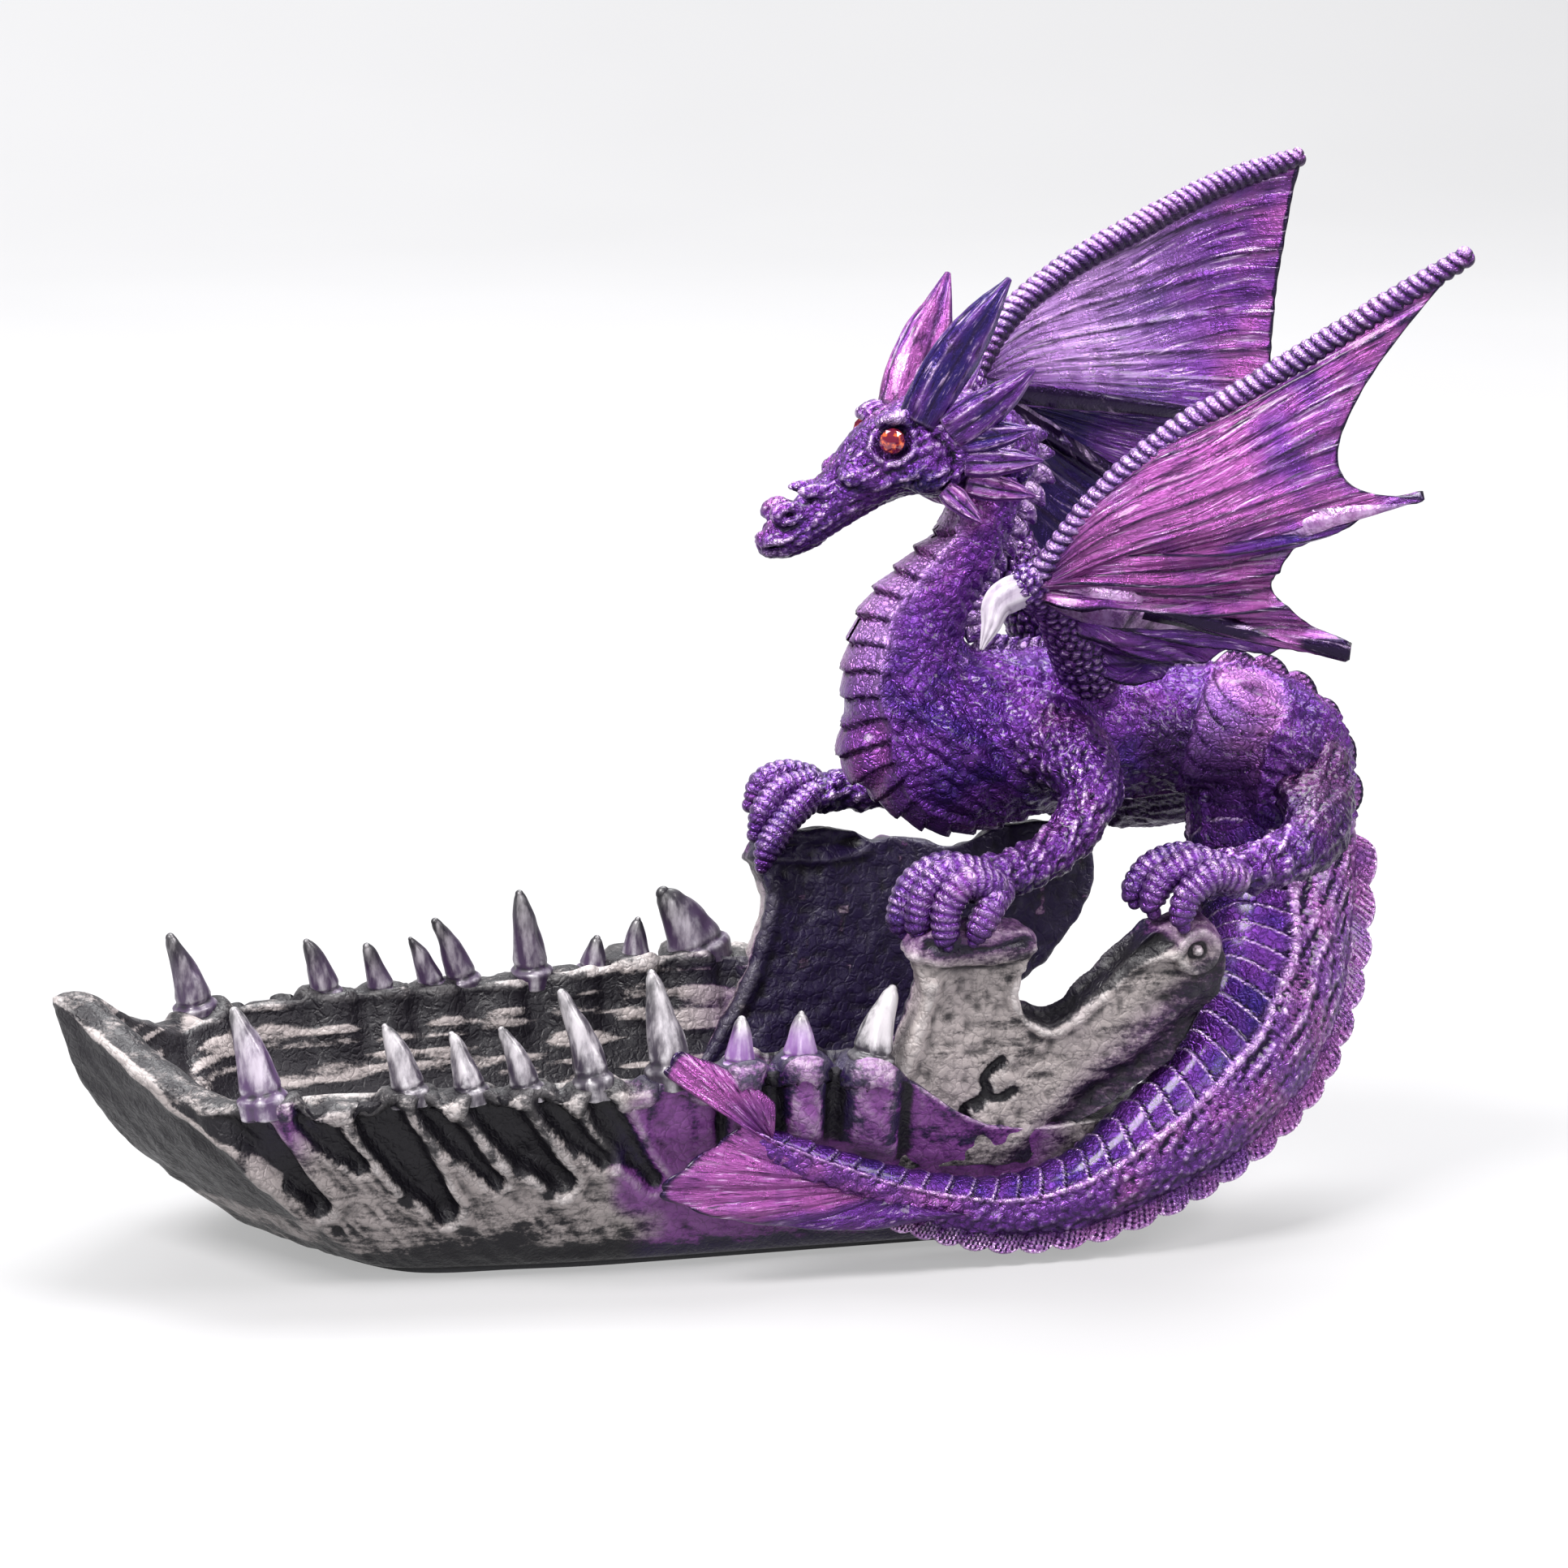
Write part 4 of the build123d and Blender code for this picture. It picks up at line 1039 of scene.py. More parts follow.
def eyeGem(side):  # a rose cut stone, facets in three rings
    label = "near" if side == near else "far"
    low, high = (np.array(c) * 1000 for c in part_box(f"eye_{label}"))
    centre, radius = (low + high) / 2, 0.4 * (high - low)[1]
    rows = [(1.0, 0.0, 12), (0.86, 0.5, 12), (0.5, 0.84, 6)]
    mesh = bpy.data.meshes.new(f"eyeGem_{label}")
    bm = bmesh.new()
    for wide, tall, count in rows:
        for k in range(count):
            a = 2 * math.pi * (k + 0.5 * (wide == 0.86)) / count
            bm.verts.new((centre[0] + radius * wide * math.cos(a), centre[1] + side * radius * tall * 0.7,
                          centre[2] + radius * wide * math.sin(a)))
    bm.verts.new((centre[0], centre[1] + side * radius * 0.74, centre[2]))
    bm.verts.new((centre[0], centre[1] - side * radius * 0.6, centre[2]))
    bmesh.ops.convex_hull(bm, input=bm.verts)
    bmesh.ops.recalc_face_normals(bm, faces=bm.faces)
    bm.to_mesh(mesh)
    makePiece(mesh, gem, [f"eye_{label}"], crisp=True)


crestLine = [(66, 0, 182), (69, 0, 173), (65, 0, 163), (58, 0, 152), (54.5, 0, 143), (56, 0, 134),
             (64, 0, 131), (78, 0, 131),
             (96, 0, 127), (112, 0, 125.5)]


def dorsalCrest():
    path = smoothPath(crestLine, 400)
    s = np.concatenate([[0], np.cumsum(np.linalg.norm(np.diff(path, axis=0), axis=1))])
    along = unit(np.gradient(path, axis=0))
    parts, at = [], 1.0
    while at < s[-1] - 1:
        k = int(np.searchsorted(s, at))
        out = np.array([-along[k, 2], 0, along[k, 0]])
        size = np.interp(at / s[-1], [0, 0.25, 0.45, 0.6, 1], [4.6, 4.2, 3.6, 2.6, 2.2])
        base, lean = path[k], along[k] * 1.6
        line = [(*(base - out * 2.5), 1.7, size * 0.62),
                (*(base + out * 0.4 * size + lean * 0.3), 1.4, size * 0.52),
                (*(base + out * 1.05 * size + lean * 1.3), 0.45, size * 0.14)]
        parts.append(limb(line, 20, 20, (0.3, 0.6))[:2])
        at += size * 0.98
    mesh = meshOf("dorsalCrest", parts)
    count = len(mesh.vertices)
    pushed(mesh, 0.35 * (valueNoise(getVerts(mesh), 1.5, 11) - 0.5))
    makePiece(mesh, scalePaint, fields={"tint": np.full(count, 0.4), "shade": np.full(count, 0.1)})


dragonBody()
dragonHead()
headTrim()
dorsalCrest()
for side in (near, far):
    eyeGem(side)
print("trunk, neck and head done")


# ---- legs and feet

forelegLine = [(62, 15, 113, 9, 11), (70, 27, 111, 8, 9.5), (71.5, 37, 103.5, 6.4, 7.2),
               (63, 44, 94.5, 5.2, 5.6),
               (52, 50, 90, 4.6, 5.2), (43, 54, 89, 4.8, 5.0)]
hindlegLines = {
    near: [(130, 12, 104, 7, 11), (131, 21, 97, 6, 10), (126, 34, 90, 6, 7.5), (113, 45, 87.5, 5, 6),
           (99, 52, 86.5, 4.8, 5.2)],
    far: [(118, 12, 104, 12, 15), (113, 24, 97, 11, 15), (108, 37, 91, 9, 12), (102, 48, 88, 6.5, 8),
          (97, 53, 87, 5.2, 5.6)]}
forePad, hindPad = (40, 55, 88.5, 7.5, 8.5, 4.8), (96, 55, 86.5, 8, 8, 4.6)
nearForeToes = [
    [(40, 50, 89, 4, 3.8), (33, 50, 91, 3.8, 3.8), (26, 50, 87.5, 3.6, 3.6), (23, 50, 80, 3.2, 3.2),
     (24, 50, 76.5, 1.6, 1.6)],
    [(41, 55.5, 90, 4, 3.8), (33, 56, 91.5, 3.8, 3.8), (27.5, 56, 87, 3.5, 3.5), (25.5, 56, 80, 3.1, 3.1),
     (26, 56, 77, 1.6, 1.6)],
    [(42, 60, 88.5, 3.8, 3.8), (35, 61, 89.5, 3.7, 3.7), (31, 61, 84.5, 3.4, 3.4), (30.5, 61, 78, 3, 3),
     (31, 61, 75.5, 1.5, 1.5)],
    [(44, 58, 87, 3.6, 3.6), (41, 62, 85, 3.4, 3.4), (38, 63, 80, 3.2, 3.2), (36.5, 62.5, 76.5, 1.6, 1.6)]]
farForeToes = [
    [(38, 50, 89, 3.6, 3.6), (31, 47, 84, 3.5, 3.5), (26, 45, 78, 3.4, 3.4), (24, 44.5, 73, 1.8, 1.8)],
    [(39, 54, 91, 3.6, 3.6), (31, 52, 90, 3.5, 3.5), (26, 50, 85.5, 3.4, 3.4), (23.5, 49.5, 80, 1.8, 1.8)],
    [(40, 58, 91, 3.6, 3.6), (33, 57, 93, 3.5, 3.5), (27, 56, 91, 3.4, 3.4), (24, 56, 86, 1.8, 1.8)]]
hindToes = [
    [(98, 51, 87, 3.9, 3.7), (90, 50.5, 90.5, 3.7, 3.7), (82, 51, 89, 3.5, 3.5), (77.5, 51.5, 84, 3, 3),
     (77.5, 52, 81, 1.5, 1.5)],
    [(98, 56, 87.5, 3.9, 3.7), (91, 56.5, 90.5, 3.7, 3.7), (83.5, 57, 88, 3.5, 3.5), (80, 57, 82.5, 2.9, 2.9),
     (80.5, 57, 79.5, 1.5, 1.5)],
    [(99, 60, 87, 3.7, 3.6), (93, 61.5, 88.5, 3.6, 3.6), (87, 62, 84.5, 3.3, 3.3), (85.5, 62, 79.5, 2.8, 2.8),
     (86, 62, 77, 1.4, 1.4)]]
legForm = dict(voxel=0.55, ring=1.9, ringHeight=0.5, scale=1.9, scaleHeight=0.3)


def leg(side, which):
    label = "near" if side == near else "far"
    forward = -branchForm["farForward"] if side == far else 0
    line, pad = (forelegLine, forePad) if which == "foreleg" else (hindlegLines[side], hindPad)
    shift = [forward * t for t in np.linspace(0, 1, len(line))]
    stations = [(x + d, side * y, z, w, h) for (x, y, z, w, h), d in zip(line, shift)]
    padAt = (pad[0] + forward, side * pad[1], *pad[2:])
    mesh = fused(f"{which}_{label}", [limb(stations)[:2], lump(*padAt)], legForm["voxel"], 6)
    v, n = getVerts(mesh), getNormals(mesh)
    flow = unit(np.array(stations[-1][:3]) - np.array(stations[0][:3]))
    fold = nearLine(v, [p[:3] for p in stations])[1]
    amount = legForm["scaleHeight"] * (scaleRelief(v, legForm["scale"], flow, 5) - 0.35)
    amount += 1.5 * strokes(v, flow, 1.5, 43)
    amount += 0.35 * np.sin(fold * 60) * ease((fold - 0.45) / 0.2)
    elbow = bell(fold - 0.42, 0.07)
    amount += 0.8 * elbow * (n @ -flow > 0) + 0.5 * (valueNoise(v, 7, 12) - 0.5)
    pushed(mesh, amount)
    rear = which == "hindleg"
    # the n[:, 2] term is a painted highlight, more magenta on faces turned up
    tint = 0.4 + (0.3 if rear else 0.1) * (1 - fold) + 0.1 * n[:, 2]
    shade = (0.7 * ease((0.75 - fold) / 0.3) if rear else 0.1) + 0.55 * ease((-n[:, 2] - 0.1) / 0.5)
    if rear and side == far:
        shade = np.full(len(v), 0.88)
    makePiece(mesh, scalePaint, [f"{which}_{label}"],
              {"tint": tint, "shade": np.clip(shade, 0, 0.85)})
    toes = hindToes if rear else (nearForeToes if side == near else farForeToes)
    for k, toe in enumerate(toes):
        line = [(x + forward, side * y, z, w, h) for x, y, z, w, h in toe]
        verts, faces, s, angle = limb(line, 90, 34, (0.9, 1.0))
        skin = meshOf(f"{which}Toe_{label}_{k + 1}", [(verts, faces)])
        step = (s / legForm["ring"]) % 1
        rings = (legForm["ringHeight"] * (np.abs(np.sin(np.pi * step)) ** 0.8 - 0.6)
                 * (0.55 + 0.45 * np.sin(angle) ** 2))
        pushed(skin, rings)
        fields = {"tint": np.full(len(s), 0.42 + 0.05 * k),
                  "shade": 0.12 + 0.55 * ease((-getNormals(skin)[:, 2] - 0.1) / 0.6)}
        makePiece(skin, scalePaint, fields=fields)


for side in (near, far):
    leg(side, "foreleg")
    leg(side, "hindleg")
print("legs done")


# ---- the tail and its fin

tailLine = [(127.5, -1, 86, 16.5, 20), (126.5, -8, 72, 14.8, 19.2), (121.5, -22, 58.5, 13.8, 18),
            (111.8, -35.5, 45.5, 12.8, 17.5),
            (98.5, -45.5, 34, 11.2, 15), (82, -51.8, 24, 9.6, 12.2), (64, -54.5, 15.6, 7.6, 9),
            (45, -55.5, 13, 6, 7.2),
            (25, -57, 17, 4.9, 6.2), (8, -59, 23.5, 4.2, 5.2), (-8, -60.5, 31, 3.7, 4.2),
            (-14, -61, 35, 2.4, 2.6)]
tailForm = dict(scale=1.9, scaleHeight=0.36, plate=6.0, plateStep=1.3, lobes=24)


# two faces, rows from root to rim, joined into one closed skin; height is 1 at the rim
def finMesh(name, sides):
    grid = np.concatenate([sides[0], sides[1][::-1]], 0).transpose(1, 0, 2)
    count, ring = grid.shape[:2]
    ends = [list(range(ring))[::-1], list(range((count - 1) * ring, count * ring))]
    rise = np.linspace(0, 1, ring // 2)
    fall = np.linspace(1, 0, ring // 2)
    mesh = meshOf(name, [(grid.reshape(-1, 3), gridFaces(count, ring) + ends)])
    return mesh, np.tile(np.concatenate([rise, fall]), count)


def lobe(name, sides):
    mesh, height = finMesh(name, sides)
    # painted highlight on the lobe rims, painted shade at their roots
    makePiece(mesh, scalePaint, fields={
        "tint": 0.62 + 0.14 * height, "shade": 0.6 * (1 - height), "painted_highlight": 0.3 * height})


def dragonTail():
    verts, faces, s, angle = limb(tailLine, 460, 120, (0.6, 0.6))
    mesh = meshOf("dragonTail", [(verts, faces)])
    u = s / s.max()
    # the belly plates run along the inner side of the curl
    turn = (np.degrees(angle) - np.interp(u, [0, 0.2, 0.45, 1], [232, 240, 252, 262]) + 180) % 360 - 180
    halfBand = np.interp(u, [0, 0.12, 0.3, 1], [36, 44, 48, 50])
    turn = turn + 4 * (valueNoise(verts, 6, 13) - 0.5)
    band = ease((halfBand - np.abs(turn)) / 5 + 0.5)
    chevron = s - 0.05 * np.abs(turn)
    step = (chevron / tailForm["plate"]) % 1
    size = np.interp(u, [0, 1], [1.1, 0.45])
    plates = size * tailForm["plateStep"] * ((1 - step) ** 1.2 - 0.45) - 0.8 * size * bell((step + 0.02) % 1,
            0.06)
    ridge = bell(np.abs(turn) - halfBand - 3, 4.5)
    beads = 0.6 + 0.4 * np.sin(2 * np.pi * s / 3.6)
    fine = scaleRelief(verts, tailForm["scale"], (-0.6, -0.5, -0.6), 6, 0.7)
    carved = strokes(verts, (-0.6, -0.5, -0.6), 1.6, 44)
    tall = np.interp(u, [0, 1], [1.1, 0.5])
    amount = (band * plates + (1 - band) * tall * (tailForm["scaleHeight"] * (fine - 0.35) + 1.4 * carved)
              + 1.3 * size * ridge * beads)
    back = bell((np.degrees(angle) - 96 + 180) % 360 - 180, 9)
    amount += 0.4 * (valueNoise(verts, 8, 14) - 0.5)
    pushed(mesh, amount)
    n = getNormals(mesh)
    # the n[:, 2] term is a painted highlight, more magenta on faces turned up
    tint = 0.6 - 0.3 * band + 0.15 * ridge + 0.08 * n[:, 2] + 0.1 * (valueNoise(verts, 12, 27) - 0.5)
    shade = 0.72 * ease((-n[:, 2] - 0.15) / 0.6) * ease((40 - verts[:, 2]) / 20 + 0.3) + 0.1 * back
    inside = ease((10 - np.abs(turn + 26)) / 14) * ease((u - 0.08) / 0.1)
    shade += 0.4 * band * ease((u - 0.05) / 0.1) * ease((turn + 8) / 20) + 0.2 * inside
    # painted highlight on the ridge and on the upward faces of the scales
    makePiece(mesh, scalePaint, ["tail"], {
        "tint": tint, "shade": np.clip(shade * (1 - ridge), 0, 0.85),
        "painted_highlight": 0.5 * ridge + 0.22 * (1 - band) * ease(n[:, 2] + 0.2)})
    path = smoothPath(tailLine, 460)
    c, _, across, up = limbFrames(path)
    steps = np.concatenate([[0], np.cumsum(np.linalg.norm(np.diff(c, axis=0), axis=1))])
    at = 6.0
    for k in range(tailForm["lobes"]):  # scalloped fins along the outside of the curl
        t = at / steps[-1]
        wide = np.interp(t, [0, 0.5, 1], [10.5, 9, 4.5])
        lift = np.interp(t, [0, 0.5, 0.85, 1], [5.2, 4.6, 2.6, 1.6])
        root = np.interp(t, [0, 1], [0.9, 0.82])
        count, tall = 34, 16
        uu, vv = np.meshgrid(np.linspace(-1, 1, count), np.linspace(0, 1, tall))
        sheet = []
        lean = np.radians(np.interp(t, [0, 0.25, 0.6, 1], [100, 100, 112, 120]))
        for flip in (-1, 1):
            j = np.clip(np.searchsorted(steps, at + uu * 0.5 * wide + 0.28 * wide * vv), 0, 459)
            out = across[j] * math.cos(lean) + up[j] * math.sin(lean)
            sideways = across[j] * -math.sin(lean) + up[j] * math.cos(lean)
            radius = np.hypot(path[j, 3] * math.cos(lean), path[j, 4] * math.sin(lean))
            reach = radius * root + (radius * (1 - root) + lift * np.sqrt(np.clip(1 - (uu * 0.98) ** 2, 0,
                    1)) ** 0.8) * vv
            ribs = 0.3 * np.abs(np.sin(3.5 * np.pi * uu)) * vv
            thick = (0.35 + 1.1 * (1 - vv)) * np.clip(1.02 - np.abs(uu) ** 6, 0.02, 1)
            sheet.append(c[j] + out * reach[..., None] + sideways * (flip * (thick + ribs))[..., None])
        lobe(f"tailLobe_{k + 1}", sheet)
        at += 0.86 * wide
        if at > steps[-1] - 8:
            break


rumpLobes = [(118, 126.5, 62), (126.5, 125, 42), (134.5, 120.5, 28), (141.5, 113.5, 14), (145.8, 105, 4),
             (147.8, 95.5, 0)]


def haunchLobes():  # the same scallops over the top of the haunch
    for k, (x, z, angle) in enumerate(rumpLobes):
        a = math.radians(angle)
        out, along = np.array([math.cos(a), 0, math.sin(a)]), np.array([math.sin(a), 0, -math.cos(a)])
        count, tall = 34, 16
        uu, vv = np.meshgrid(np.linspace(-1, 1, count), np.linspace(0, 1, tall))
        reach = -4 + (4 + 4.8 * np.clip(1 - (uu * 0.98) ** 2, 0, 1) ** 0.4) * vv
        thick = ((0.5 + 1.6 * (1 - vv) + 0.35 * np.abs(np.sin(3.5 * np.pi * uu)) * vv)
                 * np.clip(1.02 - np.abs(uu) ** 6, 0.02, 1))
        place = np.array([x - 2.0 * out[0], 0, z - 2.0 * out[2]]) + along * (uu * 5.4 + 2.2 * vv)[...,
                None] + out * reach[..., None]
        sheet = [place + np.array([0, flip, 0]) * thick[..., None] for flip in (-1, 1)]
        lobe(f"haunchLobe_{k + 1}", sheet)


finRows = [(25, 16), (14, 19.5), (5, 24), (-3, 28), (-10, 31.5)]
finEdge = [(36, 13.6), (24, 12.3), (12, 11.8), (0, 12.6), (-11, 14.2), (-21, 16.6), (-30, 19.8), (-35.5, 23),
           (-33, 27), (-27, 31),
           (-21, 34.5), (-17.5, 38.5), (-23, 42), (-29, 46), (-34.5, 51), (-31, 55), (-24, 52.5), (-16, 48),
           (-9, 42.5)]
finForm = dict(thick=2.2, ridges=15, ridgeHeight=0.8)


def tailFin():
    count, tall = 300, 46
    inner, outer = smoothPath(finRows, count), smoothPath(finEdge, count)
    f = np.linspace(0, 1, count)
    sheet = []
    for flip in (-1, 1):
        rows = []
        for t in np.linspace(0, 1, tall):
            wave = 0.8 * np.sin(2 * np.pi * f * 6) * t**2
            fan = ((np.abs(np.sin(np.pi * finForm["ridges"] * f)) - 0.5) * finForm["ridgeHeight"]
                   * ease(t / 0.2))
            edge = np.sqrt(max(1 - t**8, 0.0)) * (1 - 0.45 * t)
            flat = inner * (1 - t) + outer * t
            flat = flat + (outer - inner) * 0.035 * (np.abs(np.sin(np.pi * finForm["ridges"] * f)) - 0.6)[:,
                    None] * t**4
            y = (-60.6 - 1.6 * t + wave + 1.6 * np.sin(np.pi * t) * -1
                 + flip * (finForm["thick"] * 0.5 * edge + 0.02))
            y = y + flip * fan * edge * (0.9 if flip < 0 else 0.3)
            rows.append(np.column_stack([flat[:, 0], y, flat[:, 1]]))
        sheet.append(rows)
    mesh, height = finMesh("tailFin", sheet)
    along = np.repeat(f, 2 * tall)
    tint = 0.8 + 0.2 * height - 0.55 * ease((0.3 - along) / 0.12)
    shade = 0.5 * ease((0.3 - height) / 0.3) + 0.3 * ease((0.3 - along) / 0.1)
    makePiece(mesh, wingPaint, ["tail_fin"],
              {"tint": tint, "shade": shade, "fan": along * 0.6, "reach": height})


dragonTail()
haunchLobes()
tailFin()
print("tail done")


# ---- the wings

wingForm = dict(skin=1.7, barRing=2.5, barHeight=0.6, fingerHeight=2.4, fingerWidth=2.4, lines=40,
                lineHeight=0.3,
                across=260, reach=150, billow=8.5)
# wrist, then the outer edge as seen on the drawing plane: tip, scallop, tip, scallop, tip, scallop, foot
wingLines = {
    near: dict(shoulder=(78, 17, 129), elbow=(66, 29, 146), wrist=(56.5, 38.5, 152.5),
               bar=[(57, 39, 152.5), (70, 45, 172), (86, 50, 187), (103, 54.5, 197.5), (126, 62, 213),
                    (147.5, 69, 227.5)],
               tips=[(148, 69.5, 228), (139, 69, 174.5), (125.5, 61, 140)], foot=(88, 21, 126),
               scallops=[(120.5, 63, 185.5), (108, 56, 156.5), (101, 40, 136.5)]),
    far: dict(shoulder=(78, 17, 129), elbow=(68, 27, 158), wrist=(63, 37, 188),
              bar=[(63, 38, 188), (76, 47, 203), (93, 53, 214), (111, 57, 222.5), (134, 64, 231.5),
                   (156, 68.5, 237.5)],
              tips=[(157, 69, 237.5), (150, 66, 173), (132, 55, 147)], foot=(88, 22, 127),
              scallops=[(149.5, 66, 200), (124, 58, 163), (106, 40, 139)])}


def edgeOf(shape):  # the trailing edge, tip to foot, with deep rounded scallops
    tips = [np.array(t, float) for t in shape["tips"]] + [np.array(shape["foot"], float)]
    rows, knots = [], [0]
    for a, b, dip in zip(tips[:-1], tips[1:], shape["scallops"]):
        dip = np.array(dip, float)
        control = 2 * dip - 0.5 * (a + b)
        for t in np.linspace(0, 1, 120)[:-1]:
            rows.append(a * (1 - t) ** 2 + 2 * control * t * (1 - t) + b * t * t)
        knots.append(len(rows))
    rows.append(tips[-1])
    return np.array(rows), knots


def wing(side):
    label = "near" if side == near else "far"
    shape = wingLines[side]
    edge, knots = edgeOf(shape)
    wrist = np.array(shape["wrist"], float)
    lead = smoothPath(shape["bar"], 200)
    inner = smoothPath([shape["shoulder"], shape["elbow"], shape["wrist"]], 120)
    # columns sweep from the leading bar round to the foot of the wing, rows go from the wrist outward
    cols, reach = wingForm["across"], wingForm["reach"]
    at = np.linspace(0, len(edge) - 1, cols)
    lo = np.minimum(at.astype(int), len(edge) - 2)
    rim = edge[lo] + (edge[lo + 1] - edge[lo]) * (at - lo)[:, None]
    f = at / (len(edge) - 1)
    marks = np.array(knots) / (len(edge) - 1)
    # past the last finger the roots slide from the wrist down the arm to the shoulder
    slide = ease((f - marks[2]) / (1 - marks[2]))
    back = np.array(inner)[::-1]
    root = back[(slide * (len(back) - 1)).astype(int)]
    r = np.linspace(0.0, 1, reach)
    grid = root[None] * (1 - r)[:, None, None] + rim[None] * r[:, None, None]
    bow = np.sin(np.pi * r)[:, None] ** 0.9
    nearLead = bell(f, 0.16)[None, :]
    target = lead[(r * 199).astype(int)][:, None]
    straight = wrist + (lead[-1] - wrist) * r[:, None]
    grid = grid + (target - straight[:, None]) * nearLead[..., None]
    panels = np.zeros(cols)
    for a, b in zip(marks[:-1], marks[1:]):
        inside = (f >= a) & (f <= b)
        panels = np.where(inside, np.sin(np.pi * np.clip((f - a) / (b - a), 0, 1)), panels)
    swell = wingForm["billow"] * bow * panels[None, :] ** 0.8
    inward = np.array([-0.3, 0.9, 0.0])
    grid = grid - inward[None, None] * (swell * -0.55)[..., None]
    fingers = np.zeros((reach, cols))
    for mark in marks[1:-1]:
        fingers += bell((f[None, :] - mark) * (8 + 150 * r[:, None]), wingForm["fingerWidth"])
    lines = np.sin(2 * np.pi * wingForm["lines"] * f[None,
                                                     :] + 2.2 * np.sin(5 * r[:, None])) * ease(r / 0.15)[:,
                                                             None]
    lines = lines * (0.55 + 0.45 * np.sin(2 * np.pi * 17 * f[None, :] + 4))
    deep = 0.25 + 1.0 * ease((f - 0.3) / 0.15)[None, :] if side == near else 0.2
    wave = (f[None, :] + 0.012 * np.sin(7 * r[:, None])) * 11
    folds = deep * 3.3 * (1 - 2 * np.abs((wave % 1) - 0.5)) ** 1.5 * ease(r / 0.2)[:,
            None] * (1 - 0.35 * r[:, None])
    du, dv = np.gradient(grid, axis=1), np.gradient(grid, axis=0)
    normal = unit(np.cross(du, dv))
    normal = normal * np.sign(normal[..., 1:2] + 1e-6)  # toward the far side
    thin = np.clip(1.25 - 0.85 * r, 0.3, 1)[:, None] * np.ones((1, cols))
    noise = (valueNoise(grid.reshape(-1, 3), 4, 15) - 0.5).reshape(reach, cols)
    sheets = []
    for flip in (1, -1):
        relief = wingForm["fingerHeight"] * fingers * (1 - 0.3 * r[:, None])
        relief = relief + wingForm["lineHeight"] * lines + 0.5 * noise
        sheets.append(grid + normal * (folds + flip * (wingForm["skin"] * 0.5 * thin + relief))[..., None])
    top, bottom = sheets
    verts = np.vstack([top.reshape(-1, 3), bottom.reshape(-1, 3)])
    total = reach * cols
    faces = gridFaces(reach, cols, False)
    faces += [[i + total for i in face[::-1]] for face in gridFaces(reach, cols, False)]
    ringLoop = ([c for c in range(cols)] + [r_ * cols + cols - 1 for r_ in range(1, reach)]
                + [(reach - 1) * cols + c for c in range(cols - 2, -1,
                                                         -1)] + [r_ * cols for r_ in range(reach - 2, 0, -1)])
    for a, b in zip(ringLoop, ringLoop[1:] + ringLoop[:1]):
        faces.append([b, a, a + total, b + total])
    mesh = meshOf(f"wing_{label}", [(verts, faces)])
    rr = np.tile(np.repeat(r, cols), 2)
    ff = np.tile(np.tile(f, reach), 2)
    ridge = np.tile(np.clip(fingers, 0, 1).ravel(), 2)
    drift = valueNoise(verts, 22, 16) - 0.5
    # on the far wing the lower inner part turns indigo, as part of its painted shade
    if side == far:
        tint = (0.42 + 0.35 * ease((rr - 0.72) / 0.25)
                - 0.4 * ease((ff - 0.25) / 0.2) * ease((0.8 - rr) / 0.3) + 0.3 * drift)
    else:
        tint = 0.8 - 0.3 * ease((ff - 0.62) / 0.2) + 0.3 * drift - 0.5 * bell(ff - marks[1] - 0.05,
                0.05) * ease((rr - 0.5) / 0.3)
    tint = tint + 0.1 * ridge
    crease = np.tile(bell(((wave + 0.04) % 1) - 0.04, 0.12).ravel(),
                     2) * ease((ff - 0.3) / 0.1) * (side == near)
    under = bell(ff - marks[1] - 0.035, 0.018) * ease((rr - 0.15) / 0.3) * (side == near)
    shade = 0.5 * ease((0.16 - rr) / 0.16) + 0.6 * under + 0.9 * crease * (1 - ridge) + 0.6 * bell(ff,
            0.035) * (side == near)
    if side == far:
        shade = 0.55 * ease((ff - 0.42) / 0.2) * ease((0.8 - rr) / 0.3) + 0.3 * bell(ff, 0.03)
    # painted highlight on the finger ridges, and a streaked pale zone near the bar of the far wing
    painted_highlight = 0.12 * ridge
    if side == far:
        painted_highlight = 1.0 * ease((0.36 - ff) / 0.2) * bell(rr - 0.4,
                                                    0.26) * (0.5 + valueNoise(np.column_stack([ff * 90,
                                                            rr * 3, rr]), 1, 34))
    v = getVerts(mesh)
    setVerts(mesh, v * (1, side, 1))
    if side == near:
        mesh.flip_normals()
    makePiece(mesh, wingPaint, [f"wing_{label}"], {
        "tint": tint, "shade": np.clip(shade, 0, 0.85), "fan": ff + 0.01 * np.sin(9 * rr), "reach": rr,
        "painted_highlight": np.clip(painted_highlight, 0, 0.9)})
    # the leading bar, ridged like rope, and the scaly arm
    bar = [(*p, w, h) for p, w, h in zip(np.array(shape["bar"]) * (1, side, 1),
                                         (2.9, 2.8, 2.8, 2.8, 2.6, 2.0), (3.2, 3.2, 3.3, 3.3, 3.1, 2.3))]
    verts, faces, s, angle = limb(bar, 320, 40, (0.8, 0.8))
    mesh = meshOf(f"wingBar_{label}", [(verts, faces)])
    step = ((s + 1.2 * np.sin(angle)) / wingForm["barRing"]) % 1
    pushed(mesh, wingForm["barHeight"] * (np.abs(np.sin(np.pi * step)) ** 0.7 - 0.6)
           + 0.3 * (valueNoise(verts, 2.4, 17) - 0.5))
    u = s / s.max()
    low = getNormals(mesh) @ unit(np.array([0.6, 0, -0.8]))
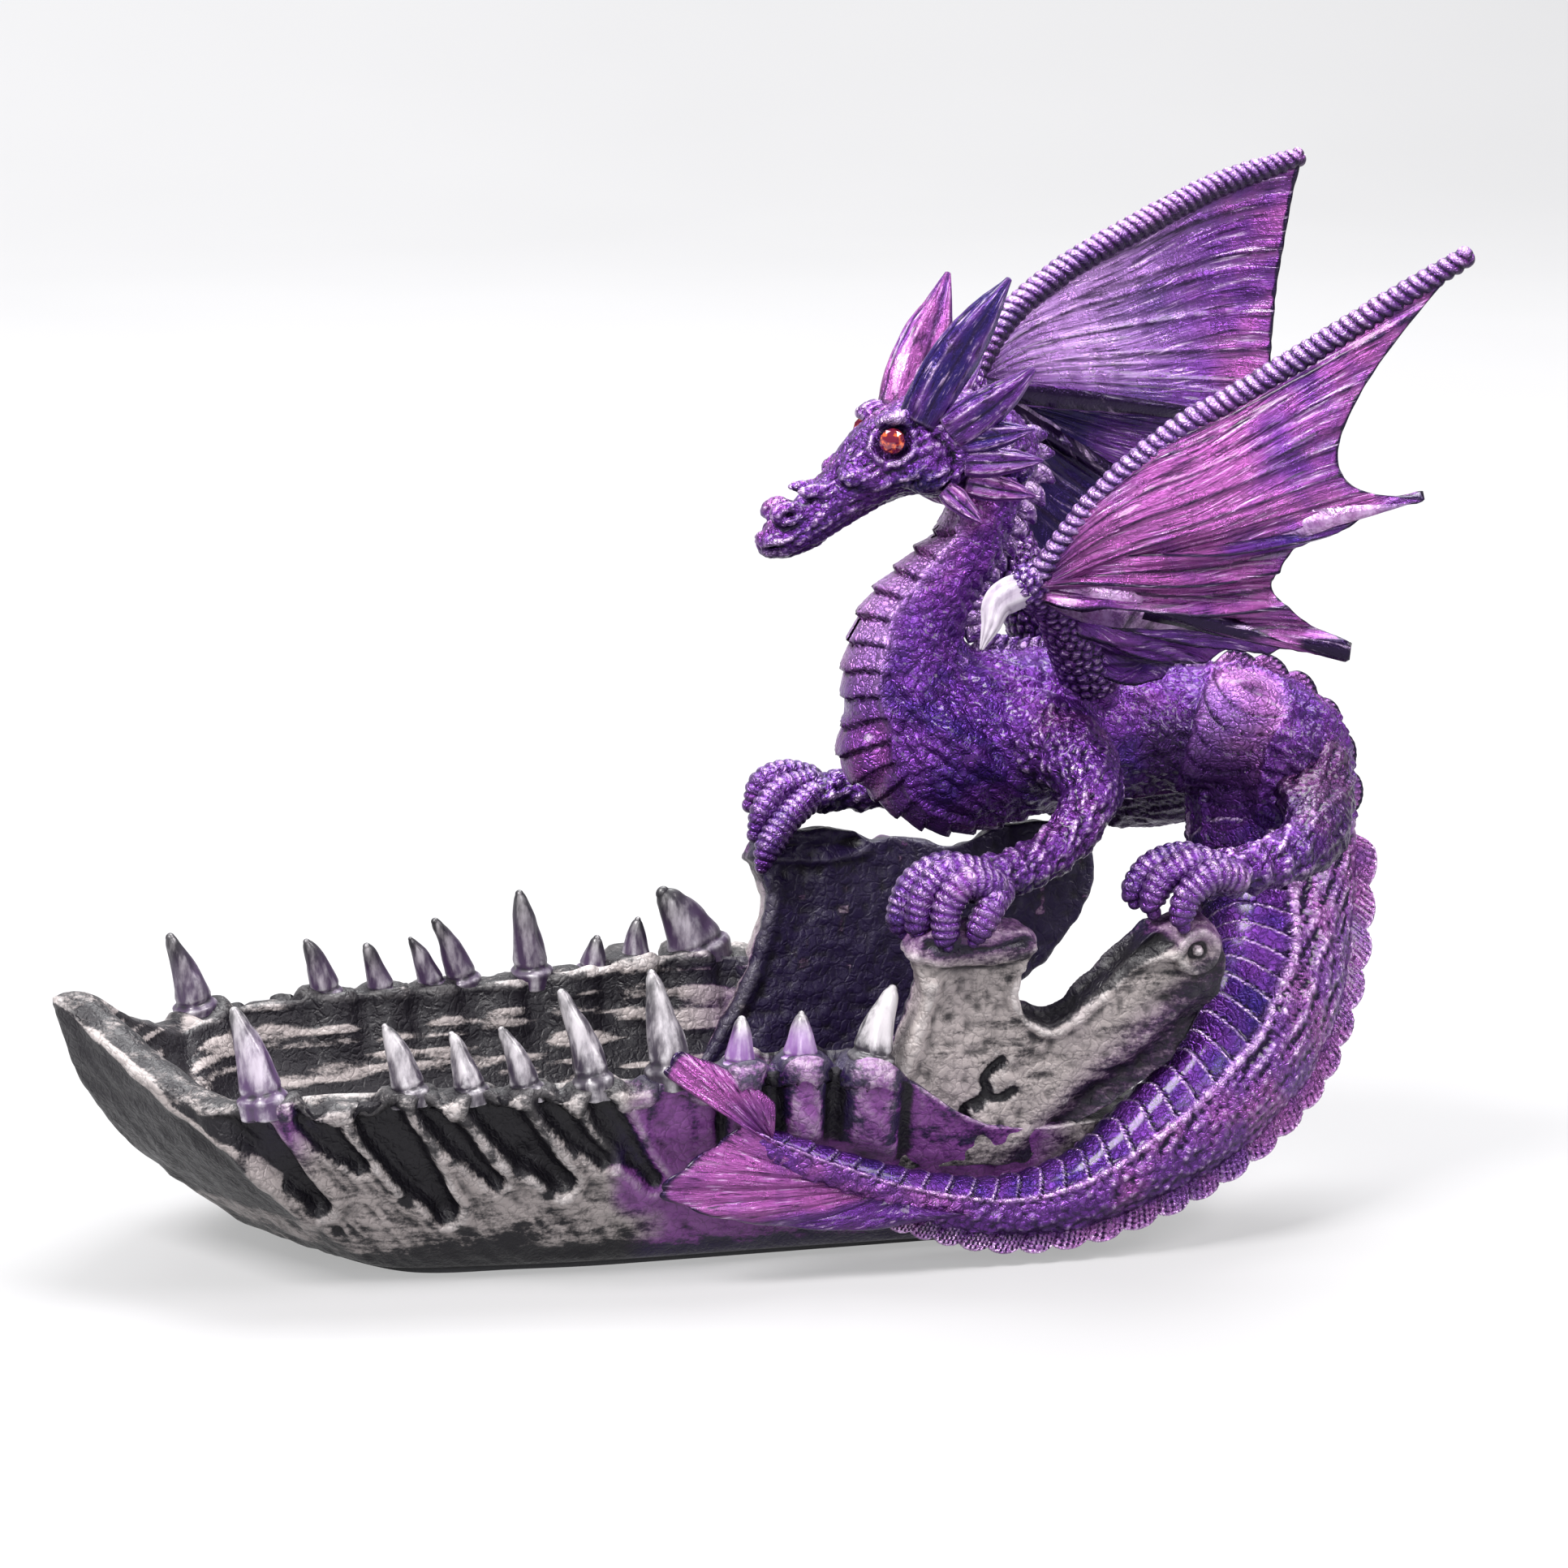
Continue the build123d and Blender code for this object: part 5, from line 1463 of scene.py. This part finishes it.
    # painted highlight on the upward ring tops, painted shade underneath and between the rings
    makePiece(mesh, scalePaint, fields={
        "tint": 0.42 + 0.1 * u,
        "shade": np.clip(0.85 * ease((low + 0.1) / 0.5)
                         + 0.6 * (1 - np.abs(np.sin(np.pi * step))) ** 1.5, 0, 0.9),
        "painted_highlight": 0.85 * ease((-low - 0.05) / 0.5) * np.abs(np.sin(np.pi * step)) ** 1.5})
    arm = [(*(np.array(p) * (1, side, 1)), w, h) for p, w, h in
           zip((shape["shoulder"], shape["elbow"], shape["wrist"]), (8, 5.6, 4.6), (8.5, 6, 5))]
    knob = np.array(shape["wrist"]) * (1, side, 1)
    mesh = fused(f"wingArm_{label}", [limb(arm, 60, 36)[:2], lump(*knob, 5, 4.6, 5.2)], 0.6, 5)
    v = getVerts(mesh)
    pushed(mesh, 0.75 * (scaleRelief(v, 2.0, unit(knob - arm[0][:3]), 8) - 0.35))
    makePiece(mesh, scalePaint, fields={"tint": np.full(len(v), 0.45),
                                        "shade": 0.1 + 0.5 * ease(-getNormals(mesh)[:, 2])})
    low, high = (np.array(c) * 1000 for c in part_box(f"wing_claw_{label}"))
    tip = np.array([low[0] + 0.7, low[1] + 0.7 if side == near else high[1] - 0.7, low[2] + 0.7])
    bend = knob + (-7, side * -1.0, -3.5)
    claw = [(*knob, 4.2, 4.2), (*bend, 3.7, 3.7), (*(0.45 * bend + 0.55 * tip), 2.1, 2.1), (*tip, 0.4, 0.4)]
    verts, faces, s, angle = limb(claw, 60, 36, (0.5, 0.8))
    mesh = meshOf(f"wingClaw_{label}", [(verts, faces)])
    pushed(mesh, 0.16 * np.sin(7 * angle) + 0.2 * (valueNoise(verts, 2, 18) - 0.5))
    u = s / s.max()
    makePiece(mesh, clawPaint, [f"wing_claw_{label}"],
              {"tone": 0.7 + 0.3 * u, "purple": 0.3 - 0.15 * u})


for side in (near, far):
    wing(side)
print("wings done")


# ---- floor, light and camera


lights = dict(  # azimuth, elevation, distance, size, watts, colour
    key=(-58, 50, 2.2, 0.75, 88, (1.0, 0.98, 0.97)),
    front=(-4, 24, 2.6, 1.0, 26, (0.98, 0.97, 1.0)),
    right=(62, 40, 2.3, 0.85, 50, (1.0, 0.95, 0.97)),
    top=(150, 68, 2.0, 1.0, 52, (1.0, 1.0, 1.0)))
# evens out the far end of the sheet
sheetLight = dict(place=(0, 1.5, 2.3), aim=(0, 3.0, 0.3), size=2.2, watts=120)
camera = dict(azimuth=-14.5, elevation=11.0, distance=1.4, target=(0.009, 0, 0.102), lens=139.13)


def around(azimuth, elevation, distance, target):
    a, e = math.radians(azimuth), math.radians(elevation)
    return Vector(target) + distance * Vector((math.sin(a) * math.cos(e), -math.cos(a) * math.cos(e),
                                               math.sin(e)))


def floorSheet():
    material, tree, shader = newMaterial("paleFloor", **{
        "Roughness": 0.7, "Specular IOR Level": 0.1, "Emission Color": (1, 1, 1, 1),
        "Emission Strength": 0.4})
    cloud = noiseValue(tree, 3, 2)
    tree.links.new(colourMix(tree, cloud, (0.17, 0.17, 0.175, 1), (0.19, 0.19, 0.195, 1)),
                   shader.inputs["Base Color"])
    path = smoothPath([(-3.0, 0), (0, 0), (1.6, 0), (2.5, 0.06), (3.1, 0.5), (3.3, 1.4), (3.35, 3.2)], 60)
    verts = [(x, y, z) for y, z in path for x in np.linspace(-4, 4, 9)]
    mesh = bpy.data.meshes.new("paleFloor")
    mesh.from_pydata([tuple(map(float, v)) for v in verts], [], gridFaces(60, 9, False))
    mesh.shade_smooth()
    mesh.materials.append(material)
    floor = bpy.data.objects.new("paleFloor", mesh)
    bpy.context.collection.objects.link(floor)


def studio():
    world = bpy.data.worlds.new("softStudio")
    world.use_nodes = True
    world.node_tree.nodes["Background"].inputs["Color"].default_value = (0.92, 0.93, 0.95, 1)
    world.node_tree.nodes["Background"].inputs["Strength"].default_value = 0.3
    bpy.context.scene.world = world
    bpy.context.scene.view_settings.view_transform = "Standard"
    middle = Vector((0, 0, 0.1))
    lamps = {name: (around(*light[:3], middle), middle, *light[3:]) for name, light in lights.items()}
    lamps["sheet"] = (Vector(sheetLight["place"]), Vector(sheetLight["aim"]), sheetLight["size"],
                      sheetLight["watts"], (1, 1, 1))
    for name, (place, aim, size, watts, colour) in lamps.items():
        lamp = bpy.data.lights.new(name, "AREA")
        lamp.size, lamp.energy, lamp.color = size, watts, colour
        obj = bpy.data.objects.new(name, lamp)
        obj.location = place
        obj.rotation_euler = (aim - place).to_track_quat("-Z", "Y").to_euler()
        bpy.context.collection.objects.link(obj)
    lens = bpy.data.cameras.new("front")
    lens.lens, lens.sensor_width, lens.clip_start = camera["lens"], 36, 0.05
    eye = bpy.data.objects.new("front", lens)
    eye.location = around(camera["azimuth"], camera["elevation"], camera["distance"], camera["target"])
    eye.rotation_euler = (Vector(camera["target"]) - eye.location).to_track_quat("-Z", "Y").to_euler()
    bpy.context.collection.objects.link(eye)
    bpy.context.scene.camera = eye


floorSheet()
studio()
print("stage ready")
